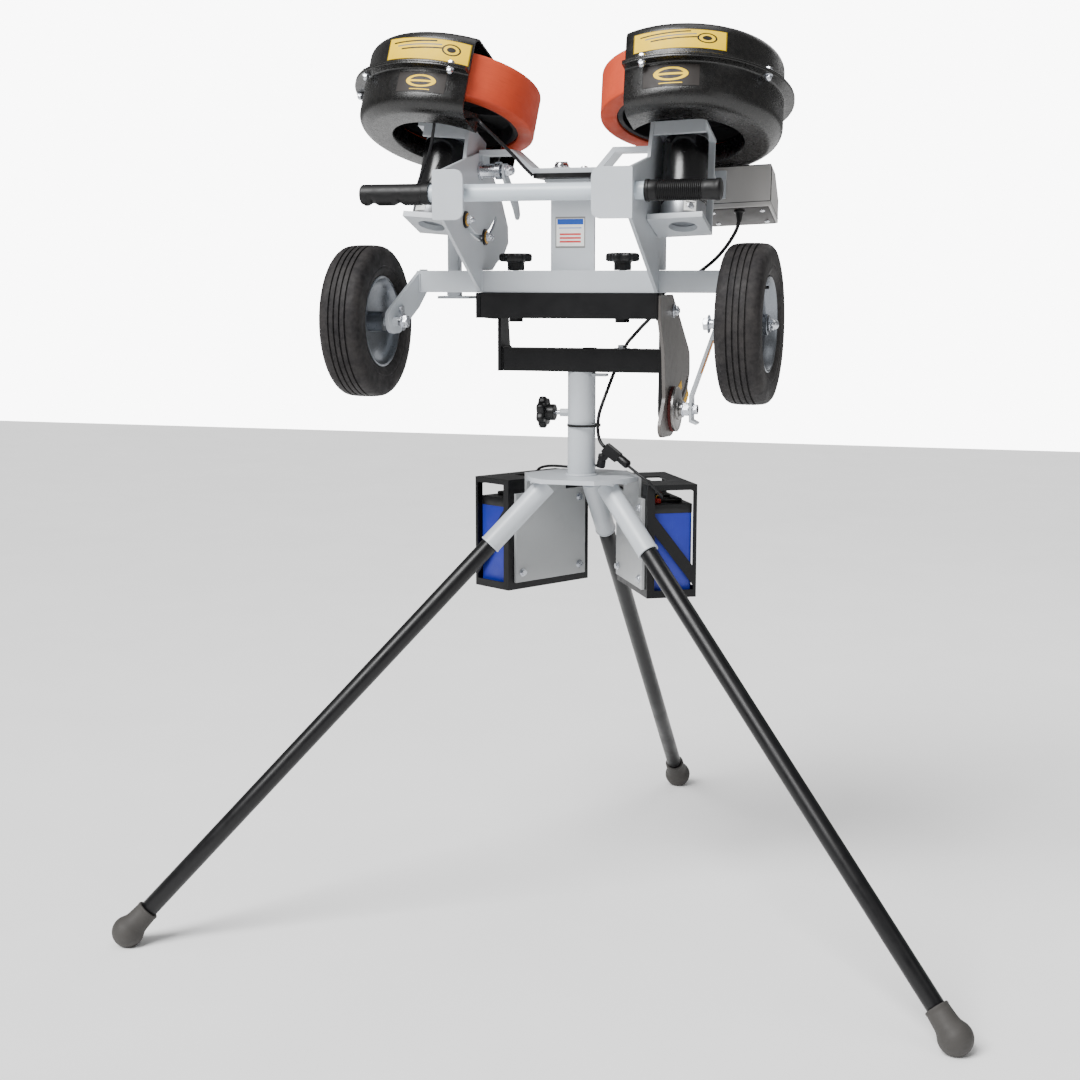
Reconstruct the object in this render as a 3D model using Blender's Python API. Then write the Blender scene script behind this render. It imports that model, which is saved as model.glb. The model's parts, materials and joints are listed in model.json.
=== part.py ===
"""Two-wheel ball throwing machine on a battery tripod, built as separate working pieces.

The row frame is in metres: +X runs along the axle, to the right as seen from the side that
the ball leaves; +Y points away from that side, towards the operator; +Z is up from the floor.
Lengths in this file are written in millimetres and turned into metres when a mesh is made.
"""
import math

import bmesh
import bpy
from mathutils import Matrix, Vector

MM = 0.001
GAP = 0.3                      # clearance between touching pieces

# ---- driving dimensions (mm) ------------------------------------------------------------
ORIGIN_Y = 208.5               # middle of the footprint, behind the post axis
FOOT_REACH = 834.0             # post axis to foot centre, measured on the floor
FOOT_R = 28.5                  # rubber ball foot
FOOT_Z = 26.0                  # its centre, so it rests on a small flat
LEG_R = 15.875                 # 1.25 in tube
SOCKET_R = 19.05               # 1.5 in socket
SOCKET_TOP = (86.5, 790.7)     # a point on every leg axis: radius, height
SOCKET_REACH = 104.6            # of a leg socket, measured from above
LEG_AZIMUTHS = {"back": 90.0, "left": 210.0, "right": 330.0}

PLATE_Z = (820.0, 828.0)
POST_R = 25.4
POST_TOP = 1016.0
SPINDLE_R = 22.2

BOX_DIST = 100.0               # post axis to the inner wall of a battery case
BOX_FRONT, BOX_REAR = 90.0, 115.0
BOX_DEPTH = 93.0
BOX_Z = (610.0, 816.0)
BOX_AZIMUTHS = {"left": (150.0, 1), "right": (30.0, -1)}   # and which way is the front
SHEET = 3.0

TILT_Y, TILT_Z = -10.0, 1126.0  # the elevation pivot
LOWER_BAR = (150.0, 25.0, (1016.3, 1057.3))     # half length, half depth, heights
UPPER_BAR_HALF = 164.7
BAR_Y = -85.0                  # centre line of the upper bar and of the axle tube
BAR_Z = (1113.0, 1157.45)
QUADRANT_X = (165.0, 171.0)
CLAMP = (-14.0, 953.0)         # Y, Z of the elevation clamp
LEVER_X = 204.0                # inner face of its lever

AXLE_Z = (1157.75, 1195.85)
AXLE_HALF = 273.0
HUB_Y, HUB_Z = -185.0, 1108.0
HUB_X = 340.0                  # transport wheel centre plane
BRACKET_SPLAY = 0.19           # how far the axle brackets lean out towards the wheels
TYRE_R, TYRE_HALF = 132.0, 38.0

SIDE_PLATE_X = {"left": (-160.0, -154.0), "right": (160.0, 166.0)}
EAR_Y = -300.0
HANDLE_Y, HANDLE_Z, HANDLE_R = -268.0, 1322.0, 14.3

UNIT_PITCH = 18.5              # motor axes lean back, so the ball leaves rising
UNITS = {"left": ((-209.0, -82.0, 1486.0), 5.0, 1), "right": ((209.0, -87.0, 1481.0), -2.5, -1)}
WHEEL_R, WHEEL_HALF = 146.0, 38.5
GUARD_R, GUARD_WALL = 160.0, 3.5
FLANGE_R = 178.0
COLLAR_TOP = -44.0             # the lower guards turn up into a collar round the motor
GUARD_CUT = 75.0               # the guards are open beyond this plane, towards the ball
MOTOR_R = 38.0
CANT_PIVOT = (-110.0, 1367.0)  # Y, Z of the left unit's pivot
BOX_U = (9.0, 127.0)           # control box in the right unit's placement
BOX_V = (105.0, 150.0, 193.0)  # front face, start and end of the dial slope
BOX_S = (-156.0, -114.0, -80.0)
CANT_SLOT_R = 115.0

# ---- materials ---------------------------------------------------------------------------
FINISHES = {
    "frame_grey": ((0.50, 0.54, 0.58), 0.45, 0.1),
    "frame_black": ((0.02, 0.02, 0.025), 0.5, 0.0),
    "leg_black": ((0.015, 0.015, 0.018), 0.25, 0.2),
    "rubber": ((0.04, 0.04, 0.042), 0.8, 0.0),
    "tyre": ((0.045, 0.043, 0.045), 0.75, 0.0),
    "steel": ((0.45, 0.46, 0.48), 0.3, 1.0),
    "zinc": ((0.62, 0.63, 0.65), 0.25, 1.0),
    "urethane": ((0.55, 0.10, 0.05), 0.45, 0.0),
    "black_plastic": ((0.02, 0.02, 0.02), 0.45, 0.0),
    "motor_black": ((0.02, 0.02, 0.025), 0.3, 0.1),
    "battery_blue": ((0.015, 0.04, 0.36), 0.5, 0.0),
    "friction": ((0.08, 0.02, 0.018), 0.8, 0.0),
}


def material(name):
    """The named Principled material, made on first use."""
    found = bpy.data.materials.get(name)
    if found:
        return found
    colour, roughness, metallic = FINISHES[name]
    made = bpy.data.materials.new(name)
    made.use_nodes = True
    shader = made.node_tree.nodes["Principled BSDF"]
    shader.inputs["Base Color"].default_value = (*colour, 1.0)
    shader.inputs["Roughness"].default_value = roughness
    shader.inputs["Metallic"].default_value = metallic
    return made


# ---- frames --------------------------------------------------------------------------------
def axes(origin, x, y, z):
    """A placement whose local axes point along x, y and z, at an origin in millimetres."""
    turn = Matrix((Vector(x), Vector(y), Vector(z))).transposed().to_4x4()
    return Matrix.Translation(Vector(origin) * MM) @ turn


def along(start, end):
    """A placement at start whose local Z points to end, and the distance between them."""
    run = Vector(end) - Vector(start)
    direction = run.normalized()
    side = Vector((0, 0, 1)).cross(direction)
    if side.length < 1e-6:
        side = Vector((1, 0, 0))
    side.normalize()
    return axes(start, side, direction.cross(side), direction), run.length


WORLD = Matrix.Identity(4)


def across(x=0.0, y=0.0, z=0.0):
    """Local X, Y, Z become world Y, Z, X: for outlines drawn in the YZ plane."""
    return axes((x, y, z), (0, 1, 0), (0, 0, 1), (1, 0, 0))


def facing_front(x=0.0, y=0.0, z=0.0):
    """Local X, Y, Z become world X, Z, -Y: for outlines drawn in the XZ plane."""
    return axes((x, y, z), (1, 0, 0), (0, 0, 1), (0, -1, 0))


def around(azimuth):
    """Local X points outwards from the post axis at this azimuth, and Z is up."""
    return Matrix.Rotation(math.radians(azimuth), 4, "Z")


def unit_frame(side):
    """A throwing unit's placement: wheel centre, local X across the machine, Z up the axis."""
    centre, lean, _ = UNITS[side]
    lean, pitch = math.radians(lean), math.radians(UNIT_PITCH)
    axis = Vector((math.sin(lean), math.sin(pitch) * math.cos(lean), math.cos(pitch) * math.cos(lean)))
    cross = (Vector((1, 0, 0)) - axis * axis.x).normalized()
    return axes(centre, cross, axis.cross(cross), axis)


def leg_line(azimuth, radius):
    """The point on a leg's axis at this distance from the post axis."""
    slope = (SOCKET_TOP[1] - FOOT_Z) / (FOOT_REACH - SOCKET_TOP[0])
    angle = math.radians(azimuth)
    height = SOCKET_TOP[1] - (radius - SOCKET_TOP[0]) * slope
    return Vector((radius * math.cos(angle), radius * math.sin(angle), height))


# ---- solids ----------------------------------------------------------------------------------
def piece(name, verts, faces, finish, frame=WORLD, sharp=35.0):
    """One closed solid from millimetre points in its own placement."""
    mesh = bpy.data.meshes.new(name)
    bm = bmesh.new()
    made = [bm.verts.new(Vector(v) * MM) for v in verts]
    for face in faces:
        bm.faces.new([made[i] for i in face])
    bmesh.ops.recalc_face_normals(bm, faces=bm.faces)
    bm.to_mesh(mesh)
    bm.free()
    mesh.shade_smooth()
    mesh.set_sharp_from_angle(angle=math.radians(sharp))
    mesh.materials.append(material(finish))
    obj = bpy.data.objects.new(name, mesh)
    bpy.context.scene.collection.objects.link(obj)
    obj.matrix_world = frame
    return obj


def stack(name, rings, finish, frame=WORLD, closed=False):
    """A solid through rings of equal count; the ends are capped, or joined when closed."""
    count = len(rings[0])
    verts = [v for ring in rings for v in ring]
    faces = []
    last = len(rings) if closed else len(rings) - 1
    for k in range(last):
        a, b = k * count, ((k + 1) % len(rings)) * count
        for i in range(count):
            j = (i + 1) % count
            faces.append((a + i, a + j, b + j, b + i))
    if not closed:
        faces.append(tuple(range(count)))
        faces.append(tuple(range((len(rings) - 1) * count, len(rings) * count)))
    return piece(name, verts, faces, finish, frame)


def circle(radius, z, segments):
    """Points around the local Z axis."""
    steps = [2 * math.pi * i / segments for i in range(segments)]
    return [(radius * math.cos(t), radius * math.sin(t), z) for t in steps]


def turned(name, profile, segments, finish, frame=WORLD, hollow=False):
    """A profile of (radius, height) turned about local Z: a solid bar, or a hollow ring."""
    rings = [circle(radius, z, segments) for radius, z in profile]
    return stack(name, rings, finish, frame, closed=hollow)


def rod(name, start, end, radius, finish, segments=20, bore=0.0):
    """A round bar or tube between two points."""
    frame, length = along(start, end)
    if bore:
        profile = [(radius, 0), (radius, length), (bore, length), (bore, 0)]
        return turned(name, profile, segments, finish, frame, hollow=True)
    return turned(name, [(radius, 0), (radius, length)], segments, finish, frame)


def prism(name, outline, depths, finish, frame=WORLD):
    """An outline in local XY carried from one depth to another along local Z."""
    return stack(name, [[(x, y, z) for x, y in outline] for z in depths], finish, frame)


def block(name, low, high, finish, frame=WORLD):
    """A rectangular block between two corners."""
    (x0, y0, z0), (x1, y1, z1) = low, high
    return prism(name, [(x0, y0), (x1, y0), (x1, y1), (x0, y1)], (z0, z1), finish, frame)


def rounded(points, radius, steps=3):
    """The outline with each corner replaced by an arc; radius may be one value per corner."""
    radii = radius if isinstance(radius, (list, tuple)) else [radius] * len(points)
    result = []
    for i, corner in enumerate(points):
        here = Vector(corner)
        before = (Vector(points[i - 1]) - here)
        after = (Vector(points[(i + 1) % len(points)]) - here)
        if radii[i] <= 0:
            result.append(tuple(here))
            continue
        half = before.angle(after) / 2
        reach = min(radii[i] / math.tan(half), before.length * 0.49, after.length * 0.49)
        arc_r = reach * math.tan(half)
        centre = here + (before.normalized() + after.normalized()).normalized() * (arc_r / math.sin(half))
        start = (here + before.normalized() * reach) - centre
        end = (here + after.normalized() * reach) - centre
        sweep = start.angle_signed(end)
        for k in range(steps + 1):
            turn = Matrix.Rotation(-sweep * k / steps, 2)
            result.append(tuple(centre + turn @ start))
    return result


def arc(centre, radius, start, end, steps):
    """Points on a circle between two angles in degrees."""
    spans = [math.radians(start + (end - start) * k / steps) for k in range(steps + 1)]
    return [(centre[0] + radius * math.cos(t), centre[1] + radius * math.sin(t)) for t in spans]


def arc_slot(centre, radius, start, end, half_width, steps=8):
    """The outline of a curved slot with round ends."""
    first, last = math.radians(start), math.radians(end)
    near = (centre[0] + radius * math.cos(first), centre[1] + radius * math.sin(first))
    far = (centre[0] + radius * math.cos(last), centre[1] + radius * math.sin(last))
    outer = arc(centre, radius + half_width, start, end, steps)
    inner = arc(centre, radius - half_width, end, start, steps)
    cap_far = arc(far, half_width, end, end + 180, 4)[1:-1]
    cap_near = arc(near, half_width, start + 180, start + 360, 4)[1:-1]
    return outer + cap_far + inner + cap_near


def guide(obj):
    """Mark a solid as one that only shapes another."""
    obj.hide_render = True
    obj.display_type = "WIRE"
    return obj


def combine(obj, others, operation):
    """Join solids to obj, or cut them from it."""
    for other in others:
        guide(other)
        modifier = obj.modifiers.new(f"{operation.lower()}_{other.name}", "BOOLEAN")
        modifier.operation = operation
        modifier.object = other
    return obj


def fuse(obj, *others):
    return combine(obj, others, "UNION")


def cut(obj, *others):
    return combine(obj, others, "DIFFERENCE")


def pivot(name, frame, parent=None):
    """An empty on a joint's axis."""
    empty = bpy.data.objects.new(name, None)
    bpy.context.scene.collection.objects.link(empty)
    empty.matrix_world = frame
    if parent:
        hang(parent, empty)
    return empty


def hang(parent, *children):
    """Parent the children where they stand."""
    bpy.context.view_layer.update()
    for child in children:
        place = child.matrix_world.copy()
        child.parent = parent
        child.matrix_parent_inverse = parent.matrix_world.inverted()
        child.matrix_world = place


def lobed_knob(name, frame, stud_length, stud_r, head_r=27.0, lobes=7):
    """A fluted clamping knob: local Z points out of the head, the stud runs to -Z."""
    count = lobes * 4

    def fluted(radius, z):
        steps = [2 * math.pi * i / count for i in range(count)]
        lobe = [radius * (1 + 0.10 * math.cos(lobes * t)) for t in steps]
        return [(r * math.cos(t), r * math.sin(t), z) for r, t in zip(lobe, steps)]

    rings = [circle(stud_r, -stud_length, count), circle(stud_r, 0, count), circle(15.0, 0, count),
             circle(15.0, 14.0, count), fluted(head_r - 1, 14.0), fluted(head_r, 17.0),
             fluted(head_r, 26.0), fluted(head_r - 3, 30.0)]
    return stack(name, rings, "black_plastic", frame)


# ---- the tripod stand ------------------------------------------------------------------------
def make_stand():
    """Hub weldment, legs, feet, battery panels, cases and batteries."""
    corners = []
    for azimuth in range(30, 390, 60):
        reach, half = (BOX_DIST - 6.6, 50.0) if azimuth in (30, 150, 270) else (99.0, 22.0)
        base = around(azimuth)
        corners += [tuple((base @ Vector((reach, s * half, 0)))[:2]) for s in (-1, 1)]
    hub = prism("stand_hub", corners, PLATE_Z, "frame_grey")
    parts = [rod("post_tube", (0, 0, PLATE_Z[1] - 2), (0, 0, POST_TOP), POST_R, "frame_grey", 32)]
    bores = [rod("post_bore", (0, 0, PLATE_Z[1] + 12), (0, 0, POST_TOP + 5), SPINDLE_R + GAP, "frame_grey", 32)]
    parts.append(rod("knob_boss", (-40, 0, 941), (-20, 0, 941), 8.0, "frame_grey", 6))
    bores.append(rod("knob_hole", (-45, 0, 941), (-10, 0, 941), 4.6, "frame_grey", 12))
    parts.append(block("stop_tab", (15, -12, 1008), (48, 8, 1013), "frame_grey"))
    for side, azimuth in LEG_AZIMUTHS.items():
        top, end = leg_line(azimuth, 66.0), leg_line(azimuth, 66.0 + SOCKET_REACH)
        parts.append(rod(f"socket_{side}", top, end, SOCKET_R, "frame_grey", 24))
        bores.append(rod(f"socket_bore_{side}", leg_line(azimuth, 84.0), leg_line(azimuth, 200.0),
                         LEG_R + GAP, "frame_grey", 20))
    fuse(hub, *parts)
    cut(hub, *bores)
    for side, azimuth in LEG_AZIMUTHS.items():
        rod(f"leg_{side}", leg_line(azimuth, 85.0), leg_line(azimuth, FOOT_REACH - 12), LEG_R,
            "leg_black", 20, bore=13.4)
        make_foot(side, azimuth)
    for side, (azimuth, front) in BOX_AZIMUTHS.items():
        make_battery_bay(side, around(azimuth), front)


def make_foot(side, azimuth):
    """A rubber ball foot: sphere and tapered neck on the leg's axis, flat where it stands."""
    frame, _ = along(leg_line(azimuth, FOOT_REACH), leg_line(azimuth, FOOT_REACH - 60))
    rings = [(FOOT_R * math.sin(math.radians(a)), -FOOT_R * math.cos(math.radians(a)))
             for a in (12, 40, 65, 90, 115)]
    rings += [(21.5, 26.0), (19.5, 48.0), (19.0, 52.0)]
    foot = turned(f"foot_{side}", rings, 20, "rubber", frame)
    bore = rod(f"foot_bore_{side}", leg_line(azimuth, FOOT_REACH - 12 + GAP),
               leg_line(azimuth, FOOT_REACH - 80), LEG_R + GAP, "rubber", 20)
    ground = block(f"ground_{side}", (-60, -60, -80), (60, 60, 0), "rubber",
                   Matrix.Translation(leg_line(azimuth, FOOT_REACH).xy.to_3d() * MM))
    cut(foot, bore, ground)


def make_battery_bay(side, frame, front):
    """One battery, its sheet case with braced windows, and the plate that carries it."""
    near, far = BOX_DIST, BOX_DIST + BOX_DEPTH
    low, high = BOX_Z
    start, end = sorted((front * BOX_FRONT, -front * BOX_REAR))
    inside = near - GAP - 6

    panel = block(f"battery_panel_{side}", (inside, start + 14, low + 14), (near - GAP, end - 14, PLATE_Z[1]),
                  "frame_grey", frame)
    notches = []
    for index, (y0, y1) in enumerate(((start, -50), (50, end))):
        notches.append(block(f"panel_notch_{side}_{index}", (near - 20, y0, high - 26),
                             (near + 10, y1, high + 40), "frame_grey", frame))
    cut(panel, *notches)

    case = block(f"battery_case_{side}", (near, start, low), (far, end, high), "frame_black", frame)
    hollow = block(f"case_hollow_{side}", (near + SHEET, start + SHEET, low + SHEET),
                   (far - SHEET, end - SHEET, high - SHEET), "frame_black", frame)
    window = block(f"case_top_window_{side}", (near + 28, start + 70, high - 10), (far - 32, end - 70, high + 10),
                   "frame_black", frame)
    outlook = block(f"case_face_window_{side}", (far - 10, start + 16, low + 18),
                    (far + 10, end - 16, high - 14), "frame_black", frame)
    cutters = [hollow, window, outlook]
    for index, place in enumerate((start, end)):
        face = frame @ axes((0, place, 0), (1, 0, 0), (0, 0, 1), (0, -1, 0))
        x0, x1, z0, z1 = near + 14, far - 6, low + 14, high - 10
        lower = [(x0, z0), (x1, z0), (x1, z0 + 8), (x0, z1 - 80)]
        upper = [(x1, z0 + 42), (x1, z1), (x0, z1), (x0, z1 - 46)]
        cutters += [prism(f"case_end_{name}_{side}_{index}", outline, (-10, 10), "frame_black", face)
                    for name, outline in (("lower", lower), ("upper", upper))]
    cut(case, *cutters)

    inset = SHEET + 3
    battery = block(f"battery_{side}", (near + inset, start + inset + 4, low + SHEET + GAP),
                    (far - inset, end - inset - 4, high - 36), "battery_blue", frame)
    for sign in (-1, 1):
        post = rod(f"terminal_{side}_{sign + 1}", (near + 28, (start + end) / 2 + sign * 66.0, high - 40),
                   (near + 28, (start + end) / 2 + sign * 66.0, high - 26), 7.0, "battery_blue", 12)
        post.matrix_world = frame @ post.matrix_world
        fuse(battery, post)


# ---- the pan yoke ----------------------------------------------------------------------------
def make_yoke():
    """Spindle, lower bar, the two arms up to the elevation pivot and the clamp arm with its stud."""
    half, depth, (low, high) = LOWER_BAR
    bar = block("yoke", (-half, -depth, low), (half, depth, high), "frame_black")
    spindle = rod("spindle", (0, 0, POST_TOP - 150), (0, 0, low + 2), SPINDLE_R, "frame_black", 32)
    top = TILT_Z + 20
    arm = rounded([(-depth - 6, low), (depth, low), (depth, high), (TILT_Y + 20, top), (TILT_Y - 20, top),
                   (-depth - 6, high)], [0, 0, 30, 18, 18, 30], 3)
    left = prism("arm_left", arm, (-half, -half + 6), "frame_black", across())
    reach = [(-depth - 6, high), (-depth - 6, 1000), (CLAMP[0] - 20, CLAMP[1] + 20), (CLAMP[0] - 20, CLAMP[1] - 20),
             (CLAMP[0] + 20, CLAMP[1] - 20), (CLAMP[0] + 20, CLAMP[1] + 20), (depth, 1000), (depth, high),
             (TILT_Y + 20, top), (TILT_Y - 20, top)]
    right = prism("arm_right", rounded(reach, [0, 20, 10, 18, 18, 10, 20, 30, 18, 18], 3),
                  (half - 0.5, half + 6), "frame_black", across())
    stud = rod("clamp_stud", (half + 3, *CLAMP), (LEVER_X + 14, *CLAMP), 5.0, "frame_black", 16)
    collar = rod("clamp_collar", (half + 3, *CLAMP), (QUADRANT_X[0] - GAP, *CLAMP), 9.0, "frame_black", 16)
    nut = rod("clamp_end", (LEVER_X + 7, *CLAMP), (LEVER_X + 13, *CLAMP), 9.0, "frame_black", 6)
    fuse(bar, spindle, left, right, stud, collar, nut)
    cut(bar, *[rod(f"pivot_hole_{s + 1}", (s * 140, TILT_Y, TILT_Z), (s * 165, TILT_Y, TILT_Z), 5.3,
                   "frame_black", 16) for s in (-1, 1)])
    bolts = []
    for sign, name in ((-1, "pivot_bolt_left"), (1, "pivot_bolt_right")):
        inner = half - 6 - GAP if sign < 0 else half - 0.5 - GAP
        arm_face = half + GAP if sign < 0 else half + 6 + GAP
        lug_face, outer = (158.4, 164.7) if sign < 0 else QUADRANT_X
        profile = [(8.5, inner - 6), (8.5, inner), (5.0, inner), (5.0, arm_face), (9.0, arm_face),
                   (9.0, lug_face - GAP), (5.0, lug_face - GAP), (5.0, outer + GAP), (10.5, outer + GAP),
                   (10.5, outer + 2), (8.5, outer + 2), (8.5, outer + 10)]
        bolts.append(turned(name, [(r, sign * x) for r, x in profile], 16, "zinc", across(0, TILT_Y, TILT_Z)))
    return bar, bolts


def make_clamp():
    """Friction disc, pressure plate with its nut, and the bent lever that tightens them."""
    start = QUADRANT_X[1] + GAP
    spot = across(0, *CLAMP)
    disc = turned("friction_disc", [(40, start), (40, start + 5), (5.4, start + 5), (5.4, start)], 32,
                  "friction", spot, hollow=True)
    at = start + 5 + GAP
    end = LEVER_X - GAP
    plate = turned("pressure_plate", [(40, at), (40, at + 5), (19, at + 5), (19, at + 9), (12, at + 9),
                                      (12, end), (5.4, end), (5.4, at)], 32, "steel", spot, hollow=True)
    strip = [(LEVER_X + x, z) for x, z in ((0, 931), (13, 926), (15, 930), (5, 935), (5, 976), (51, 1108),
                                           (46.4, 1110), (0, 977.5))]
    lever = prism("tilt_lever", strip, (-CLAMP[0] - 13, -CLAMP[0] + 13), "frame_grey", facing_front())
    cut(lever, rod("lever_hole", (LEVER_X - 7, *CLAMP), (LEVER_X + 6.9, *CLAMP), 5.4, "frame_grey", 16))
    return disc, plate, lever


# ---- the elevating head ----------------------------------------------------------------------
def make_head_frame():
    """Upper bar, quadrant, axle tube, side plates, handle and the ball rest."""
    y0, y1 = BAR_Y - 22.2, BAR_Y + 22.2
    bar = block("upper_bar", (-UPPER_BAR_HALF, y0, BAR_Z[0]), (UPPER_BAR_HALF, y1, BAR_Z[1]), "frame_black")
    lug = rounded([(BAR_Y, BAR_Z[0]), (TILT_Y + 18, TILT_Z - 18), (TILT_Y + 18, TILT_Z + 18), (BAR_Y, BAR_Z[1])],
                  [0, 16, 16, 0], 4)
    fuse(bar, prism("pivot_lug", lug, (-UPPER_BAR_HALF, -UPPER_BAR_HALF + 6.3), "frame_black", across()))
    holes = [rod("lug_hole", (-175, TILT_Y, TILT_Z), (-140, TILT_Y, TILT_Z), 5.3, "frame_black", 16)]
    for sign in (-1, 1):
        fuse(bar, rod(f"weld_nut_{sign + 1}", (sign * 97, BAR_Y, BAR_Z[0] - 6.5),
                      (sign * 97, BAR_Y, BAR_Z[0] + 1), 13.0, "frame_black", 6))
        holes.append(rod(f"bar_hole_{sign + 1}", (sign * 97, BAR_Y, BAR_Z[0] - 20),
                         (sign * 97, BAR_Y, BAR_Z[1] + 5), 5.4, "frame_black", 16))
    cut(bar, *holes)
    outline = [(-108, BAR_Z[1] - 3), (-17, BAR_Z[1] - 3), (49, 1108), (128, 1048), (130, 1011), (99, 961),
               (-12, 905), (-88, 908), (-107, 925), (-66, 974), (-77, 1055), (-108, 1110)]
    quadrant = prism("quadrant_plate", rounded(outline, [3, 6, 30, 24, 24, 30, 50, 24, 14, 20, 40, 8], 3),
                     QUADRANT_X, "frame_black", across())
    reach = math.hypot(CLAMP[0] - TILT_Y, CLAMP[1] - TILT_Z)
    slot = arc_slot((TILT_Y, TILT_Z), reach, -102, -47, 5.6)
    cut(quadrant, prism("quadrant_slot", slot, (QUADRANT_X[0] - 5, QUADRANT_X[1] + 5), "frame_black", across()),
        rod("quadrant_hole", (155, TILT_Y, TILT_Z), (180, TILT_Y, TILT_Z), 5.3, "frame_black", 16))
    return [bar, quadrant] + make_axle() + make_side_plates() + make_ball_rest()


def make_axle():
    """Square axle tube, the dropped wheel brackets with their stub axles, and a rest foot."""
    half = 19.05
    tube = block("axle_tube", (-AXLE_HALF, BAR_Y - half, AXLE_Z[0]), (AXLE_HALF, BAR_Y + half, AXLE_Z[1]),
                 "frame_grey")
    front, root = BAR_Y - half, (HUB_Z + 23.5, AXLE_Z[1] - 4)
    flat = [(front, root[0]), (BAR_Y + half, AXLE_Z[0]), (BAR_Y + half, AXLE_Z[1]), (front + 6, AXLE_Z[1]),
            (front, root[1])]
    drop = rounded([(front, root[0]), (front, root[1]), (HUB_Y - 22, HUB_Z + 14), (HUB_Y - 14, HUB_Z - 22),
                    (HUB_Y + 18, HUB_Z - 20)], [0, 0, 18, 18, 14], 3)
    parts = []
    for sign, side in ((-1, "left"), (1, "right")):
        spans = [sign * (AXLE_HALF - 1), sign * (AXLE_HALF + 6)]
        parts.append(prism(f"bracket_root_{side}", flat, spans, "frame_grey", across()))
        splayed = [[(y, z, x + sign * BRACKET_SPLAY * (front - y)) for y, z in drop] for x in spans]
        parts.append(stack(f"wheel_bracket_{side}", splayed, "frame_grey", across()))
        parts.append(rod(f"stub_axle_{side}", (sign * (AXLE_HALF + 2), HUB_Y, HUB_Z),
                         (sign * (HUB_X + 40), HUB_Y, HUB_Z), 7.9, "frame_grey", 16))
    parts.append(block("rest_strut", (-232, BAR_Y + half - 1, 1150), (-212, BAR_Y + half + 20, 1262),
                       "frame_grey"))
    parts.append(block("rest_foot", (-252, BAR_Y + half - 1, 1146), (-192, BAR_Y + half + 45, 1151),
                       "frame_grey"))
    fuse(tube, *parts)
    cut(tube, *[rod(f"tube_hole_{s + 1}", (s * 97, BAR_Y, AXLE_Z[0] - 9), (s * 97, BAR_Y, AXLE_Z[1] + 9), 5.4,
                    "frame_grey", 16) for s in (-1, 1)])
    return [tube]


def make_side_plates():
    """The two side plates with their ears, the handle tube and its grips."""
    front, back = BAR_Y - 19.05 - GAP, BAR_Y + 19.05 + GAP
    low = BAR_Z[1] + GAP
    ear_low, ear_high = 1277.0, 1359.0
    saddle = [(back, AXLE_Z[1] + GAP), (front, AXLE_Z[1] + GAP), (front, low)]
    left_outline = saddle + [(front - 4, low), (EAR_Y + 6, ear_low), (EAR_Y + 6, ear_high), (-117, 1398),
                             (-74, 1398), (-26, 1351), (14, 1316), (44, 1276), (46, 1246), (20, 1224),
                             (-20, 1210), (-44, AXLE_Z[1] + 1)]
    left = prism("side_plate_left", left_outline, SIDE_PLATE_X["left"], "frame_grey", across())
    slot = arc_slot(CANT_PIVOT, CANT_SLOT_R, -132, -44, 5.6, 10)
    x0, x1 = SIDE_PLATE_X["left"]
    cut(left, prism("cant_slot", slot, (x0 - 5, x1 + 5), "frame_grey", across()),
        rod("cant_hole", (x0 - 9, *CANT_PIVOT), (x1 + 9, *CANT_PIVOT), 8.3, "frame_grey", 20))
    pitch = math.radians(UNIT_PITCH)
    centre = Vector(UNITS["right"][0])

    def on_web(across_plate, along_axis):
        return (centre.y + across_plate * math.cos(pitch) + along_axis * math.sin(pitch),
                centre.z - across_plate * math.sin(pitch) + along_axis * math.cos(pitch))

    right_outline = saddle + [(front - 4, low), (EAR_Y + 6, ear_low), (EAR_Y + 6, ear_high),
                              on_web(-50, -122), on_web(-44, -55), on_web(44, -55), on_web(44, -150),
                              (-50, 1262), (-50, AXLE_Z[1] + 1)]
    right = prism("side_plate_right", right_outline, SIDE_PLATE_X["right"], "frame_grey", across())
    ears = {"left": (-172.0, -118.0), "right": (100.0, 168.0)}
    for side, plate in (("left", left), ("right", right)):
        x_low, x_high = ears[side]
        corners = [(x_low, ear_low), (x_high, ear_low), (x_high, ear_high), (x_low, ear_high)]
        radii = [3, 14, 14, 3] if side == "left" else [14, 3, 3, 14]
        fuse(plate, prism(f"ear_{side}", rounded(corners, radii, 3), (-EAR_Y - 6, -EAR_Y), "frame_grey",
                          facing_front()))
        a, b = SIDE_PLATE_X[side]
        cut(plate, rod(f"handle_hole_{side}", (a - 9, HANDLE_Y, HANDLE_Z), (b + 9, HANDLE_Y, HANDLE_Z),
                       HANDLE_R + GAP, "frame_grey", 24))
    handle = rod("handle_tube", (-306, HANDLE_Y, HANDLE_Z), (300, HANDLE_Y, HANDLE_Z), HANDLE_R, "frame_grey",
                 24, bore=11.5)
    grips = [make_grip("grip_left", -310, -186), make_grip("grip_right", 306, 182)]
    return [left, right, handle] + grips


def make_grip(name, closed_end, open_end):
    """A rubber sleeve with a closed end, over the end of the handle tube."""
    frame, length = along((closed_end, HANDLE_Y, HANDLE_Z), (open_end, HANDLE_Y, HANDLE_Z))
    bore, outer = HANDLE_R + GAP, 17.2
    profile = [(outer - 3, 0), (outer, 2.5), (outer, length - 2), (outer - 1, length), (bore, length), (bore, 3.5)]
    return turned(name, profile, 24, "rubber", frame)


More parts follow.
